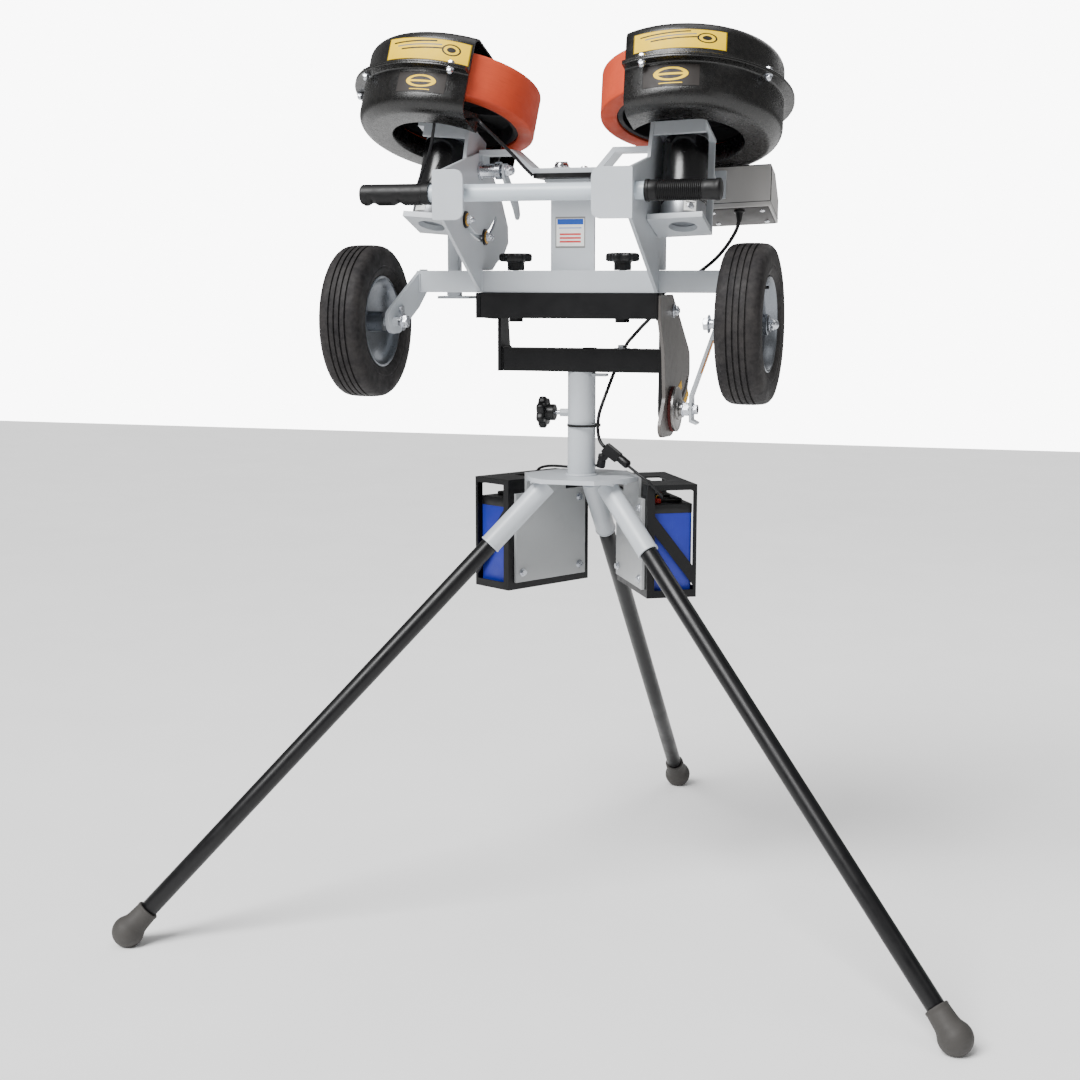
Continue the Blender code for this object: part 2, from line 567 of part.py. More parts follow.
def make_ball_rest():
    """The bent cross bracket, the black tray under it and the centre support plate."""
    top, low, thick = 1403.0, 1370.0, 9.0
    upper = [(-153.7, top), (-94, top), (-56, low), (57, low), (86, top), (159.7, top)]
    lower = [(159.7, top - thick), (90, top - thick), (61, low - thick), (-59, low - thick),
             (-97, top - thick), (-153.7, top - thick)]
    bracket = prism("cross_bracket", upper + lower, (62.0, 115.0), "frame_grey", facing_front())
    fuse(bracket, *[block(f"bracket_tab_{name}", (x0, -110, top - 24), (x1, -76, top - 2), "frame_grey")
                    for name, x0, x1 in (("left", -153.7, -148), ("right", 154, 159.7))])
    tray_top = low - thick - GAP
    tray = prism("ball_tray", rounded([(-56, -125), (58, -125), (58, 20), (-56, 20)], 12, 3),
                 (tray_top - 8, tray_top), "black_plastic")
    support_top = tray_top - 8 - GAP
    support = prism("centre_support", [(-40, 1120), (40, 1120), (40, support_top), (-40, support_top)],
                    (56.2, 62.5), "frame_grey", facing_front())
    fuse(support, block("support_lip", (-40, -100, support_top - 6), (40, -58, support_top), "frame_grey"))
    return [bracket, support, tray]


# ---- throwing units ----------------------------------------------------------------------------
def make_unit(side):
    """Motor, its bracket, the urethane wheel on its hub and the two guard shells."""
    frame = unit_frame(side)
    inner = UNITS[side][2]                  # +1 when the ball passes on the unit's +X side
    tyre = turned(f"throw_tyre_{side}",
                  [(WHEEL_R - 3, -WHEEL_HALF), (WHEEL_R, -WHEEL_HALF + 3), (WHEEL_R, WHEEL_HALF - 3),
                   (WHEEL_R - 3, WHEEL_HALF), (118, WHEEL_HALF), (118, -WHEEL_HALF)],
                  32, "urethane", frame, hollow=True)
    rim = 118 - GAP
    hub = turned(f"throw_hub_{side}",
                 [(rim, -34), (rim, 34), (108, 34), (104, 6), (30, 6), (30, 26), (7.2, 26), (7.2, -26),
                  (30, -26), (30, -6), (104, -6), (108, -34)], 32, "black_plastic", frame, hollow=True)
    motor = turned(f"motor_{side}",
                   [(26, -216), (MOTOR_R, -216), (MOTOR_R, -63.5), (16, -63.5), (16, -56), (6.9, -56), (6.9, 32)],
                   24, "motor_black", frame)
    bracket = make_motor_bracket(side, frame)
    lower, upper = make_guard(side, frame, inner)
    return {"wheel": [tyre, hub], "body": [motor, bracket, lower, upper]}


def make_motor_bracket(side, frame):
    """The plates above and below a motor, welded to its web and trimmed clear of the side plate."""
    centre = UNITS[side][0]
    if side == "left":
        top = block("motor_bracket_left", (-42, -45, -63), (58, 45, -56.7), "frame_grey", frame)
        lip = block("front_lip_left", (-30, -45, -80), (58, -40, -57), "frame_grey", frame)
        bottom = block("bottom_plate_left", (-39, -42, -226), (74, 44, -216.4), "frame_grey", frame)
        pitch = Matrix.Rotation(math.radians(-UNIT_PITCH), 4, "X")
        web_frame = Matrix.Translation(Vector(centre) * MM) @ pitch @ across()
        outline = [(-48, -240), (98, -226), (98, -188), (45, -140), (45, -57), (-45, -57)]
        web = prism("web_left", rounded(outline, [12, 12, 16, 16, 3, 3], 3),
                    tuple(x - centre[0] for x in (-166.7, SIDE_PLATE_X["left"][0] - GAP)), "frame_grey", web_frame)
        trim = (SIDE_PLATE_X["left"][0] - GAP - centre[0], -400, -400), (400, 400, 400)
        fuse(top, lip, bottom, web)
        cut(top, rod("web_pivot_hole", (-180, *CANT_PIVOT), (-150, *CANT_PIVOT), 8.0 + GAP, "frame_grey", 20))
    else:
        top = block("motor_bracket_right", (-52, -45, -63), (42, 46, -56.7), "frame_grey", frame)
        lip = block("front_lip_right", (-52, -45, -80), (42, -40, -57), "frame_grey", frame)
        bottom = block("bottom_plate_right", (-52, -42, -226), (41, 46, -216.4), "frame_grey", frame)
        rib = block("rear_rib_right", (-52, 40.5, -226), (41, 46, -57), "frame_grey", frame)
        arm = block("box_arm", (10, 45, -124), (41, BOX_V[0] - GAP, -118), "frame_grey", frame)
        flange = block("box_flange", (10, BOX_V[0] - GAP - 5, -140), (50, BOX_V[0] - GAP, -90), "frame_grey", frame)
        trim = (-400, -400, -400), (SIDE_PLATE_X["right"][1] + GAP - centre[0], 400, 400)
        fuse(top, lip, bottom, rib, arm, flange)
    shaft = rod(f"bracket_hole_{side}", (0, 0, -90), (0, 0, -40), 16.3, "frame_grey", 24)
    shaft.matrix_world = frame @ shaft.matrix_world
    recess = rod(f"bottom_hole_{side}", (0, 0, -240), (0, 0, -200), 24.0, "frame_grey", 24)
    recess.matrix_world = frame @ recess.matrix_world
    cut(top, shaft, recess, block(f"bracket_trim_{side}", *trim, "frame_grey",
                                  Matrix.Translation(Vector(centre) * MM)))
    return top


def make_guard(side, frame, inner):
    """Lower and upper guard shells, bolted at their flanges and open towards the ball."""
    wall, r = GUARD_WALL, GUARD_R
    lower_profile = [(FLANGE_R, -4.2), (FLANGE_R, -7.4), (r, -7.4)]
    lower_profile += [(r - 26 + x, -52 - y) for x, y in arc((0, 0), 26, 0, 90, 3)]
    lower_profile += [(97, -78), (97, COLLAR_TOP), (97 + wall, COLLAR_TOP), (97 + wall, -78 + wall)]
    lower_profile += [(r - 26 + x, -52 - y) for x, y in arc((0, 0), 26 - wall, 90, 0, 3)]
    lower_profile += [(r - wall, -4.2)]
    upper_profile = [(FLANGE_R, -3.9), (r - wall, -3.9)]
    upper_profile += [(r - 20 + x, 44 + y) for x, y in arc((0, 0), 20 - wall, 0, 90, 3)]
    upper_profile += [(34, 64 - wall), (34, 64)]
    upper_profile += [(r - 20 + x, 44 + y) for x, y in arc((0, 0), 20, 90, 0, 3)]
    upper_profile += [(r, -0.7), (FLANGE_R, -0.7)]
    shells = []
    for level, profile in (("lower", lower_profile), ("upper", upper_profile)):
        shell = turned(f"guard_{level}_{side}", profile, 32, "black_plastic", frame, hollow=True)
        spans = sorted((inner * GUARD_CUT, inner * 300))
        opening = block(f"guard_opening_{level}_{side}", (spans[0], -300, -120), (spans[1], 300, 120),
                        "black_plastic", frame)
        cut(shell, opening)
        shells.append(shell)
    return shells


def make_cant_pivot():
    """The left unit's pivot shaft and the lever that locks it."""
    x0, x1 = SIDE_PLATE_X["left"]
    spot = across(0, *CANT_PIVOT)
    shaft = turned("cant_shaft", [(8.0, x0 - 5), (8.0, x1 + GAP), (12.0, x1 + GAP), (12.0, x1 + 40), (6.0, x1 + 40),
                                  (6.0, x1 + 52), (10.0, x1 + 52), (10.0, x1 + 58)], 20, "zinc", spot)
    at = x1 + 42
    outline = rounded([(-10, 12), (12, 12), (16, -6), (74, -52), (84, -74), (70, -86), (52, -64), (-8, -12)],
                      [10, 10, 6, 10, 10, 10, 10, 10], 3)
    lever = prism("cant_lever", outline, (at, at + 5), "frame_grey", across(0, *CANT_PIVOT))
    cut(lever, rod("cant_lever_hole", (at - 9, *CANT_PIVOT), (at + 9, *CANT_PIVOT), 6.4, "frame_grey", 16))
    return shaft, lever


def make_control_box():
    """Speed control housing behind the right motor, with its sloping dial panel."""
    (front, edge, back), (low, brow, high) = BOX_V, BOX_S
    side_frame = unit_frame("right") @ across()
    outline = [(front, low), (front, high), (edge, high), (back, brow), (back, low)]
    box = prism("control_box", outline, BOX_U, "frame_grey", side_frame)
    slope = Vector((back - edge, brow - high)).normalized()
    normal = Vector((-slope.y, slope.x))
    middle = Vector(((edge + back) / 2, (high + brow) / 2)) + normal * GAP
    spots = [side_frame @ axes((*middle, u), (0, 0, -1), (slope.x, slope.y, 0), (normal.x, normal.y, 0))
             for u in (BOX_U[0] + 30, BOX_U[0] + 74, BOX_U[0] + 104)]
    dials = [turned(name, [(12.5, 0), (12.5, 4), (10.5, 5), (9.5, 16), (8.5, 17)], 24, "black_plastic", place)
             for name, place in zip(("speed_dial_left", "speed_dial_right"), spots)]
    cut(box, block("switch_pocket", (-7, -10.5, -7), (7, 10.5, 3), "black_plastic", spots[2]))
    switch = block("power_switch", (-6, -8.5, -3), (6, 8.5, 5), "black_plastic", spots[2])
    return box, dials, switch


# ---- transport wheels ----------------------------------------------------------------------------
def make_transport_wheel(side, sign):
    """A ribbed solid tyre on a pressed rim; local Z points away from the machine."""
    frame = axes((sign * HUB_X, HUB_Y, HUB_Z), (0, sign, 0), (0, 0, 1), (sign, 0, 0))
    half, r = TYRE_HALF, TYRE_R
    outer = [(78, -30), (96, -half + 1), (r - 12, -half + 1), (r - 3, -half + 6), (r, -half + 16)]
    profile = outer + [(radius, -z) for radius, z in reversed(outer)] + [(76, 26), (76, -26)]
    tyre = turned(f"tyre_{side}", profile, 32, "tyre", frame, hollow=True)
    rim_profile = [(75.6, -28), (75.6, 28), (70, 28), (62, 10), (17, 8), (17, 30), (8.3, 30), (8.3, -34), (17, -34),
                   (17, -4), (62, -4), (70, -28)]
    rim = turned(f"rim_{side}", rim_profile, 32, "steel", frame, hollow=True)
    return [tyre, rim]


# ---- leads ----------------------------------------------------------------------------------------
LEAD_D = 6.5
UPPER_LEAD = [(287.4, -22.8, 1294.8), (288, -26, 1283), (284, -31, 1264), (270, -40, 1238), (250, -45, 1214),
              (222, -46, 1192), (192, -45, 1173), (168, -43, 1163), (151, -41, 1146), (136, -36, 1116),
              (114, -20, 1096), (96, 0, 1081), (81, 22, 1070), (73, 31, 1060), (68, 32.5, 1050)]
LOWER_LEAD = [(65.6, 33, 1044.5), (59.5, 33, 1030), (51, 30, 1010), (43, 24, 985), (36, 14, 960), (31, 6, 938),
              (29.8, 3, 918), (31, 1, 904), (35, -2, 892), (40, -5, 885.4), (44.6, -7, 881.6)]
BATTERY_LEADS = {
    "left": [(40.6, -6, 858.0), (37, -5, 853), (35, 8, 848), (28, 24, 844), (14, 40, 841), (-6, 52, 838),
             (-26, 61, 835), (-48, 68, 834), (-72, 76, 834), (-92, 84, 832), (-108, 89, 827),
             (-114.5, 89.5, 818), (-115, 89.5, 806), (-115, 89.5, 796)],
    "right": [(73.4, -7, 861.6), (86, -13, 853), (100, -23, 845), (116, -32, 836), (132, -36, 826), (146, -34, 812),
              (154, -28, 802), (155, -20, 796), (150, -9, 793), (143, 2, 792)],
}


def smooth_points(route, spacing):
    """Points every so often along a smooth curve through the route."""
    points = [Vector(p) for p in route]
    padded = [points[0] * 2 - points[1]] + points + [points[-1] * 2 - points[-2]]
    fine = []
    for i in range(1, len(padded) - 2):
        a, b, c, d = padded[i - 1:i + 3]
        for k in range(20):
            t = k / 20
            fine.append(0.5 * (2 * b + (c - a) * t + (2 * a - 5 * b + 4 * c - d) * t * t
                               + (3 * b - a - 3 * c + d) * t ** 3))
    fine.append(points[-1])
    kept, run = [fine[0]], 0.0
    for before, after in zip(fine, fine[1:]):
        run += (after - before).length
        if run >= spacing:
            kept.append(after)
            run = 0.0
    if (kept[-1] - fine[-1]).length < spacing * 0.5:
        kept.pop()
    kept.append(fine[-1])
    return kept


def lead(name, route, diameter):
    """A cable as a round tube along its route."""
    curve = bpy.data.curves.new(name, "CURVE")
    curve.dimensions = "3D"
    curve.bevel_depth = diameter / 2 * MM
    curve.bevel_resolution = 2
    curve.use_fill_caps = True
    points = smooth_points(route, diameter * 3.0)
    spline = curve.splines.new("POLY")
    spline.points.add(len(points) - 1)
    for slot, point in zip(spline.points, points):
        slot.co = (*(point * MM), 1.0)
    curve.materials.append(material("rubber"))
    obj = bpy.data.objects.new(name, curve)
    bpy.context.scene.collection.objects.link(obj)
    return obj


def make_leads():
    """The power lead from the control box to the Y connector, and its battery branches."""
    upper = lead("power_lead_upper", UPPER_LEAD, LEAD_D)
    lead("power_lead_lower", LOWER_LEAD, LEAD_D)
    frame = axes((58, -6, 873), (0.8, 0, -0.6), (0, 1, 0), (0.6, 0, 0.8))
    body = block("y_connector", (-14, -11, -10), (18, 9, 8), "black_plastic", frame)
    fuse(body, block("connector_leg", (-12, -6, -20), (2, 6, -5), "black_plastic", frame))
    for side, route in BATTERY_LEADS.items():
        lead(f"battery_lead_{side}", route, 5.0)
    return upper


# ---- assembly ---------------------------------------------------------------------------------------
def main():
    for old in list(bpy.data.objects):
        bpy.data.objects.remove(old)
    make_stand()
    lobed_knob("post_knob", axes((-50, 0, 941), (0, 1, 0), (0, 0, -1), (-1, 0, 0)), 27.0, 4.3)

    pan = pivot("pan_axis", Matrix.Translation((0, 0, POST_TOP * MM)))
    yoke, bolts = make_yoke()
    disc, plate, lever = make_clamp()
    upper_lead = make_leads()
    hang(pan, yoke, *bolts, disc, plate)
    hang(pivot("tilt_lever_axis", across(LEVER_X + 2, *CLAMP), pan), lever)

    tilt = pivot("tilt_axis", across(0, TILT_Y, TILT_Z), pan)
    hang(tilt, upper_lead, *make_head_frame())
    shaft, cant_lever = make_cant_pivot()
    hang(tilt, shaft)
    hang(pivot("cant_lever_axis", across(-108, *CANT_PIVOT), tilt), cant_lever)
    for sign, side in ((-1, "left"), (1, "right")):
        knob = lobed_knob(f"axle_knob_{side}", Matrix.Translation((sign * 0.097, BAR_Y * MM, (AXLE_Z[1] + GAP) * MM)),
                          AXLE_Z[1] + GAP - BAR_Z[0] + 5, 5.1)
        hang(pivot(f"axle_knob_axis_{side}", knob.matrix_world.copy(), tilt), knob)
        wheel_axis = pivot(f"transport_axis_{side}", across(sign * HUB_X, HUB_Y, HUB_Z), tilt)
        hang(wheel_axis, *make_transport_wheel(side, sign))
    box, dials, switch = make_control_box()
    hang(tilt, box)
    for dial in dials:
        hang(pivot(f"{dial.name}_axis", dial.matrix_world.copy(), tilt), dial)
    hang(pivot("power_switch_axis", switch.matrix_world.copy(), tilt), switch)

    for side in ("right", "left"):
        unit = make_unit(side)
        carrier = tilt if side == "right" else pivot("cant_axis", across(-157, *CANT_PIVOT), tilt)
        hang(carrier, *unit["body"])
        spin = pivot(f"throw_axis_{side}", unit_frame(side), carrier)
        hang(spin, *unit["wheel"])

    # Everything above is laid out from the post axis; the row's origin is the footprint's middle.
    bpy.context.view_layer.update()
    shift = Matrix.Translation((0, -ORIGIN_Y * MM, 0))
    for obj in [o for o in bpy.data.objects if o.parent is None]:
        obj.matrix_world = shift @ obj.matrix_world


main()
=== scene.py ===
"""Looks for the two-wheel ball throwing machine: fine meshes and procedural finishes round the CAD frame.

Lengths are in millimetres from the post axis on the floor, as in the CAD source, unless said otherwise:
X along the transport axle, Y back towards the operator, Z up.
"""
import json
import math

import bmesh
import bpy
from mathutils import Matrix, Vector


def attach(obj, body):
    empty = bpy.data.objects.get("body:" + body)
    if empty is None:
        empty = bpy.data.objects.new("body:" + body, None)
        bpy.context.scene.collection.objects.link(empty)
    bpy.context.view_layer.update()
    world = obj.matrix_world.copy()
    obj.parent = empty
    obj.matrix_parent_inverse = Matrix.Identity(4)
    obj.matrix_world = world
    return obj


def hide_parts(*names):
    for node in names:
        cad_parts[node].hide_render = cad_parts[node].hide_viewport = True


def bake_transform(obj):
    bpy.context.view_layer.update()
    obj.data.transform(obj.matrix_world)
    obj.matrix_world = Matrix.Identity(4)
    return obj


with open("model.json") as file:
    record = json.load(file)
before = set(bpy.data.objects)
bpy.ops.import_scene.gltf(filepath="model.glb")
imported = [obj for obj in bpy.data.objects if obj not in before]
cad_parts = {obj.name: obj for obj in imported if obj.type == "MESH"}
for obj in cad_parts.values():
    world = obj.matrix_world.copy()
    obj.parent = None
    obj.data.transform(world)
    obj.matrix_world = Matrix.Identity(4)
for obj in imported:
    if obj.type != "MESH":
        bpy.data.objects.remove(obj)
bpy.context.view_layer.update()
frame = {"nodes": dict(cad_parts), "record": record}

MM = 0.001
ORIGIN_Y = 208.5
ROW = Matrix.Translation((0, -ORIGIN_Y * MM, 0))
RECORD = frame["record"]
BODY_OF = {node: body for body, nodes in RECORD["behaviour"]["bodies"].items() for node in nodes}

# ---- places shared with the CAD (mm) ------------------------------------------------------
FOOT_REACH, FOOT_Z, FOOT_R = 834.0, 26.0, 28.5
LEG_R, SOCKET_R = 15.875, 19.05
SOCKET_TOP = (86.5, 790.7)
LEG_AZIMUTHS = {"back": 90.0, "left": 210.0, "right": 330.0}
BOX_AZIMUTHS = {"left": (150.0, 1), "right": (30.0, -1)}
BOX_DIST, BOX_DEPTH, BOX_Z = 100.0, 93.0, (610.0, 816.0)
BOX_FRONT, BOX_REAR = 90.0, 115.0
POST_R = 25.4
TILT = (-10.0, 1126.0)
CLAMP = (-14.0, 953.0)
LEVER_X = 204.0
QUADRANT_FACE = 171.0
BAR_Y, AXLE_TOP = -85.0, 1195.85
HUB = (-185.0, 1108.0)
HUB_X, TYRE_R = 340.0, 132.0
HANDLE = (-268.0, 1322.0)
HANDLE_R = 14.3
CANT = (-110.0, 1367.0)
SIDE_LEFT, SIDE_RIGHT = (-160.0, -154.0), (160.0, 166.0)
WHEEL_R, WHEEL_HALF = 146.0, 38.5
GUARD_R, GUARD_WALL, FLANGE_R, GUARD_CUT = 160.0, 3.5, 178.0, 75.0
MOTOR_R = 38.0
BOX_U, BOX_V, BOX_S = (9.0, 127.0), (105.0, 150.0, 193.0), (-156.0, -114.0, -80.0)


# ---- frames ---------------------------------------------------------------------------------
def axes(origin, x, y, z):
    """A placement in millimetres whose local axes point along x, y and z."""
    turn = Matrix((Vector(x), Vector(y), Vector(z))).transposed().to_4x4()
    return Matrix.Translation(Vector(origin)) @ turn


def along(start, end):
    """A placement at start whose local Z points to end, and the distance between them."""
    run = Vector(end) - Vector(start)
    direction = run.normalized()
    side = Vector((0, 0, 1)).cross(direction)
    if side.length < 1e-6:
        side = Vector((1, 0, 0))
    side.normalize()
    return axes(start, side, direction.cross(side), direction), run.length


def around(azimuth):
    return Matrix.Rotation(math.radians(azimuth), 4, "Z")


def unit_frame(side):
    """A throwing unit's placement, read from its wheel's joint: Z up the motor axis."""
    joint = next(j for j in RECORD["behaviour"]["joints"] if j["name"] == f"throw_spin_{side}")
    centre = (Vector(joint["pos_m"]) / MM) + Vector((0, ORIGIN_Y, 0))
    axis = Vector(joint["axis"]).normalized()
    cross = (Vector((1, 0, 0)) - axis * axis.x).normalized()
    return axes(centre, cross, axis.cross(cross), axis)


UNIT = {side: unit_frame(side) for side in ("left", "right")}


def leg_line(azimuth, radius):
    slope = (SOCKET_TOP[1] - FOOT_Z) / (FOOT_REACH - SOCKET_TOP[0])
    angle = math.radians(azimuth)
    height = SOCKET_TOP[1] - (radius - SOCKET_TOP[0]) * slope
    return Vector((radius * math.cos(angle), radius * math.sin(angle), height))


# ---- material nodes --------------------------------------------------------------------------
def srgb(r, g, b):
    """A linear colour from 0 to 255 display values."""
    def channel(value):
        value /= 255
        return value / 12.92 if value <= 0.04045 else ((value + 0.055) / 1.055) ** 2.4
    return (channel(r), channel(g), channel(b), 1.0)


class Finish:
    """A Principled material under construction, with short calls for the usual nodes."""

    def __init__(self, name, **values):
        self.material = bpy.data.materials.new(name)
        self.material.use_nodes = True
        self.tree = self.material.node_tree
        self.shader = self.tree.nodes["Principled BSDF"]
        self.place = self.tree.nodes.new("ShaderNodeTexCoord").outputs["Object"]
        for socket, value in values.items():
            self.shader.inputs[socket.replace("_", " ")].default_value = value

    def link(self, source, target):
        self.tree.links.new(source, target)

    def node(self, kind, inputs=(), **settings):
        made = self.tree.nodes.new(kind)
        for key, value in settings.items():
            setattr(made, key, value)
        for key, value in dict(inputs).items():
            if hasattr(value, "is_output"):
                self.link(value, made.inputs[key])
            else:
                made.inputs[key].default_value = value
        return made

    def noise(self, scale, detail=3.0, roughness=0.55, stretch=None, distortion=0.0):
        place = self.place
        if stretch:
            place = self.node("ShaderNodeMapping", {"Vector": place, "Scale": stretch}).outputs["Vector"]
        return self.node("ShaderNodeTexNoise", {"Vector": place, "Scale": scale, "Detail": detail,
                                                "Roughness": roughness,
                                                "Distortion": distortion}).outputs["Fac"]

    def cells(self, scale, feature="F1"):
        return self.node("ShaderNodeTexVoronoi", {"Vector": self.place, "Scale": scale},
                         feature=feature).outputs["Distance"]

    def remap(self, value, low, high, to_low=0.0, to_high=1.0):
        return self.node("ShaderNodeMapRange", {"Value": value, "From Min": low, "From Max": high,
                                                "To Min": to_low, "To Max": to_high}).outputs["Result"]

    def mix(self, factor, first, second, blend="MIX"):
        return self.node("ShaderNodeMix", {"Factor": factor, 6: first, 7: second}, data_type="RGBA",
                         blend_type=blend).outputs[2]

    def math(self, operation, first, second=0.0, third=0.0):
        made = self.node("ShaderNodeMath", operation=operation)
        for index, value in enumerate((first, second, third)):
            if hasattr(value, "is_output"):
                self.link(value, made.inputs[index])
            else:
                made.inputs[index].default_value = value
        return made.outputs[0]

    def colour(self, value):
        self.link(value, self.shader.inputs["Base Color"])

    def rough(self, value):
        self.link(value, self.shader.inputs["Roughness"])

    def bump(self, height, distance, strength=1.0):
        made = self.node("ShaderNodeBump", {"Height": height, "Distance": distance, "Strength": strength})
        self.link(made.outputs["Normal"], self.shader.inputs["Normal"])


def painted(name, colour, rough=0.38, variation=0.06, peel=0.00005, grime=0.12, coat=0.25, shine=0.5):
    """Powder coat: slight tone drift, orange peel, soft rubbed patches and a little grime."""
    f = Finish(name, Specular_IOR_Level=shine, Coat_Weight=coat, Coat_Roughness=0.25)
    drift = f.remap(f.noise(5.0, 4.0), 0.3, 0.7)
    dark = tuple(c * (1 - variation) for c in colour[:3]) + (1,)
    light = tuple(min(1, c * (1 + variation)) for c in colour[:3]) + (1,)
    tone = f.mix(drift, dark, light)
    specks = f.remap(f.noise(150.0, 6.0, 0.7), 0.66, 0.74)
    smudge = f.remap(f.noise(22.0, 5.0, 0.65), 0.58, 0.8)
    worn = f.mix(f.math("MULTIPLY", specks, grime), tone, tuple(c * 0.35 for c in colour[:3]) + (1,))
    f.colour(f.mix(f.math("MULTIPLY", smudge, grime), worn, tuple(c * 0.6 for c in colour[:3]) + (1,)))
    f.rough(f.remap(f.noise(40.0, 5.0), 0.25, 0.75, rough - 0.07, rough + 0.10))
    f.bump(f.noise(900.0, 2.0), peel, 0.6)
    return f.material


def moulded(name, colour, rough=0.45, pebble=0.00012, scale=420.0, variation=0.15):
    """Moulded plastic or rubber with a pebbled skin and handling marks."""
    f = Finish(name, Specular_IOR_Level=0.3)
    drift = f.remap(f.noise(9.0, 5.0), 0.3, 0.7)
    dark = tuple(c * (1 - variation) for c in colour[:3]) + (1,)
    light = tuple(min(1, c * (1 + variation)) for c in colour[:3]) + (1,)
    scuffs = f.remap(f.noise(60.0, 8.0, 0.75, stretch=(1, 1, 6)), 0.6, 0.78, 0.0, 0.35)
    f.colour(f.mix(scuffs, f.mix(drift, dark, light),
                   tuple(min(1, c * 2.2 + 0.02) for c in colour[:3]) + (1,)))
    f.rough(f.remap(f.noise(70.0, 5.0), 0.25, 0.75, rough - 0.08, rough + 0.12))
    f.bump(f.noise(scale, 3.0, 0.6), pebble, 0.8)
    return f.material


def metal(name, colour, rough=0.28, brushed=None, patina=0.15):
    """Plated or bare metal with fine directional lines and faint tarnish."""
    f = Finish(name, Metallic=1.0)
    cloud = f.remap(f.noise(35.0, 5.0), 0.35, 0.75, 0.0, patina)
    f.colour(f.mix(cloud, colour, tuple(c * 0.55 for c in colour[:3]) + (1,)))
    lines = f.noise(300.0, 4.0, 0.7, stretch=brushed or (1, 1, 1))
    f.rough(f.remap(lines, 0.25, 0.75, rough - 0.1, rough + 0.14))
    f.bump(lines, 0.00003, 0.5)
    return f.material


def guard_plastic():
    """Black vacuum-formed guard: a leathery pebble that glints, with dust caught in it."""
    f = Finish("guard_plastic", Specular_IOR_Level=0.45, Coat_Weight=0.12, Coat_Roughness=0.22)
    grain = f.cells(620.0)
    fine = f.noise(700.0, 4.0, 0.7)
    height = f.math("ADD", f.math("MULTIPLY", grain, 1.3), f.math("MULTIPLY", fine, 0.5))
    dust = f.remap(f.noise(14.0, 6.0, 0.7), 0.5, 0.75, 0.0, 0.3)
    tone = f.mix(f.remap(f.noise(120.0, 5.0), 0.35, 0.65), srgb(10, 10, 10), srgb(22, 21, 20))
    f.colour(f.mix(dust, tone, srgb(30, 28, 27)))
    f.rough(f.remap(f.noise(90.0, 5.0), 0.3, 0.7, 0.2, 0.36))
    f.bump(height, 0.00022, 0.7)
    return f.material


def urethane():
    """Orange-red cast urethane, ground on its face and dulled by balls."""
    f = Finish("urethane_tread", Specular_IOR_Level=0.35)
    base = f.mix(f.remap(f.noise(12.0, 5.0), 0.3, 0.7), srgb(188, 66, 38), srgb(204, 78, 46))
    streak = f.remap(f.noise(30.0, 7.0, 0.7, stretch=(1, 1, 14)), 0.52, 0.8, 0.0, 0.4)
    ground = f.mix(streak, base, srgb(146, 48, 28))
    blots = f.remap(f.noise(26.0, 8.0, 0.75), 0.62, 0.75, 0.0, 0.35)
    f.colour(f.mix(blots, ground, srgb(120, 52, 38)))
    f.rough(f.remap(f.noise(60.0, 5.0), 0.3, 0.7, 0.46, 0.66))
    f.bump(f.noise(500.0, 4.0, 0.7, stretch=(1, 1, 6)), 0.00008, 0.8)
    return f.material


def tyre_rubber():
    """Dusty black tyre: grey bloom on the ribs, finer lines round the wheel."""
    f = Finish("tyre_rubber", Specular_IOR_Level=0.16)
    bloom = f.remap(f.noise(18.0, 6.0, 0.7), 0.4, 0.75, 0.0, 0.55)
    tone = f.mix(f.remap(f.noise(140.0, 5.0), 0.35, 0.65), srgb(26, 25, 26), srgb(40, 38, 39))
    f.colour(f.mix(bloom, tone, srgb(66, 63, 61)))
    f.rough(f.remap(f.noise(50.0, 4.0), 0.3, 0.7, 0.5, 0.74))
    f.bump(f.noise(650.0, 3.0, 0.65), 0.0001, 0.8)
    return f.material


def battery_case():
    """Blue battery moulding: satin, with ribs of tone from the mould and scuffed faces."""
    f = Finish("battery_blue_plastic", Specular_IOR_Level=0.45)
    tone = f.mix(f.remap(f.noise(8.0, 5.0), 0.3, 0.7), srgb(22, 32, 132), srgb(32, 46, 160))
    scuff = f.remap(f.noise(90.0, 8.0, 0.75, stretch=(1, 1, 0.2)), 0.62, 0.8, 0.0, 0.25)
    f.colour(f.mix(scuff, tone, srgb(120, 130, 190)))
    f.rough(f.remap(f.noise(45.0, 5.0), 0.3, 0.7, 0.36, 0.55))
    f.bump(f.noise(600.0, 3.0), 0.00008, 0.7)
    return f.material


def label(name, ground, marks, ink):
    """A printed label from its UV square: ground, a border and plain shapes, with no lettering."""
    f = Finish(name, Specular_IOR_Level=0.25)
    uv = f.node("ShaderNodeTexCoord").outputs["UV"]
    split = f.node("ShaderNodeSeparateXYZ", {0: uv})
    u, v = split.outputs[0], split.outputs[1]
    colour = f.mix(f.remap(f.noise(60.0, 5.0), 0.35, 0.7, 0.0, 0.12), ground,
                   tuple(c * 0.6 for c in ground[:3]) + (1,))
    for kind, tint, numbers in marks:
        colour = f.mix(MARKS[kind](f, u, v, *numbers), colour, tint)
    edge_u = f.math("COMPARE", u, 0.5, 0.5 - ink)
    edge_v = f.math("COMPARE", v, 0.5, 0.5 - 2 * ink)
    inside = f.math("MULTIPLY", edge_u, edge_v)
    f.colour(f.mix(inside, tuple(c * 0.25 for c in ground[:3]) + (1,), colour))
    f.rough(f.remap(f.noise(80.0, 4.0), 0.3, 0.7, 0.42, 0.58))
    return f.material


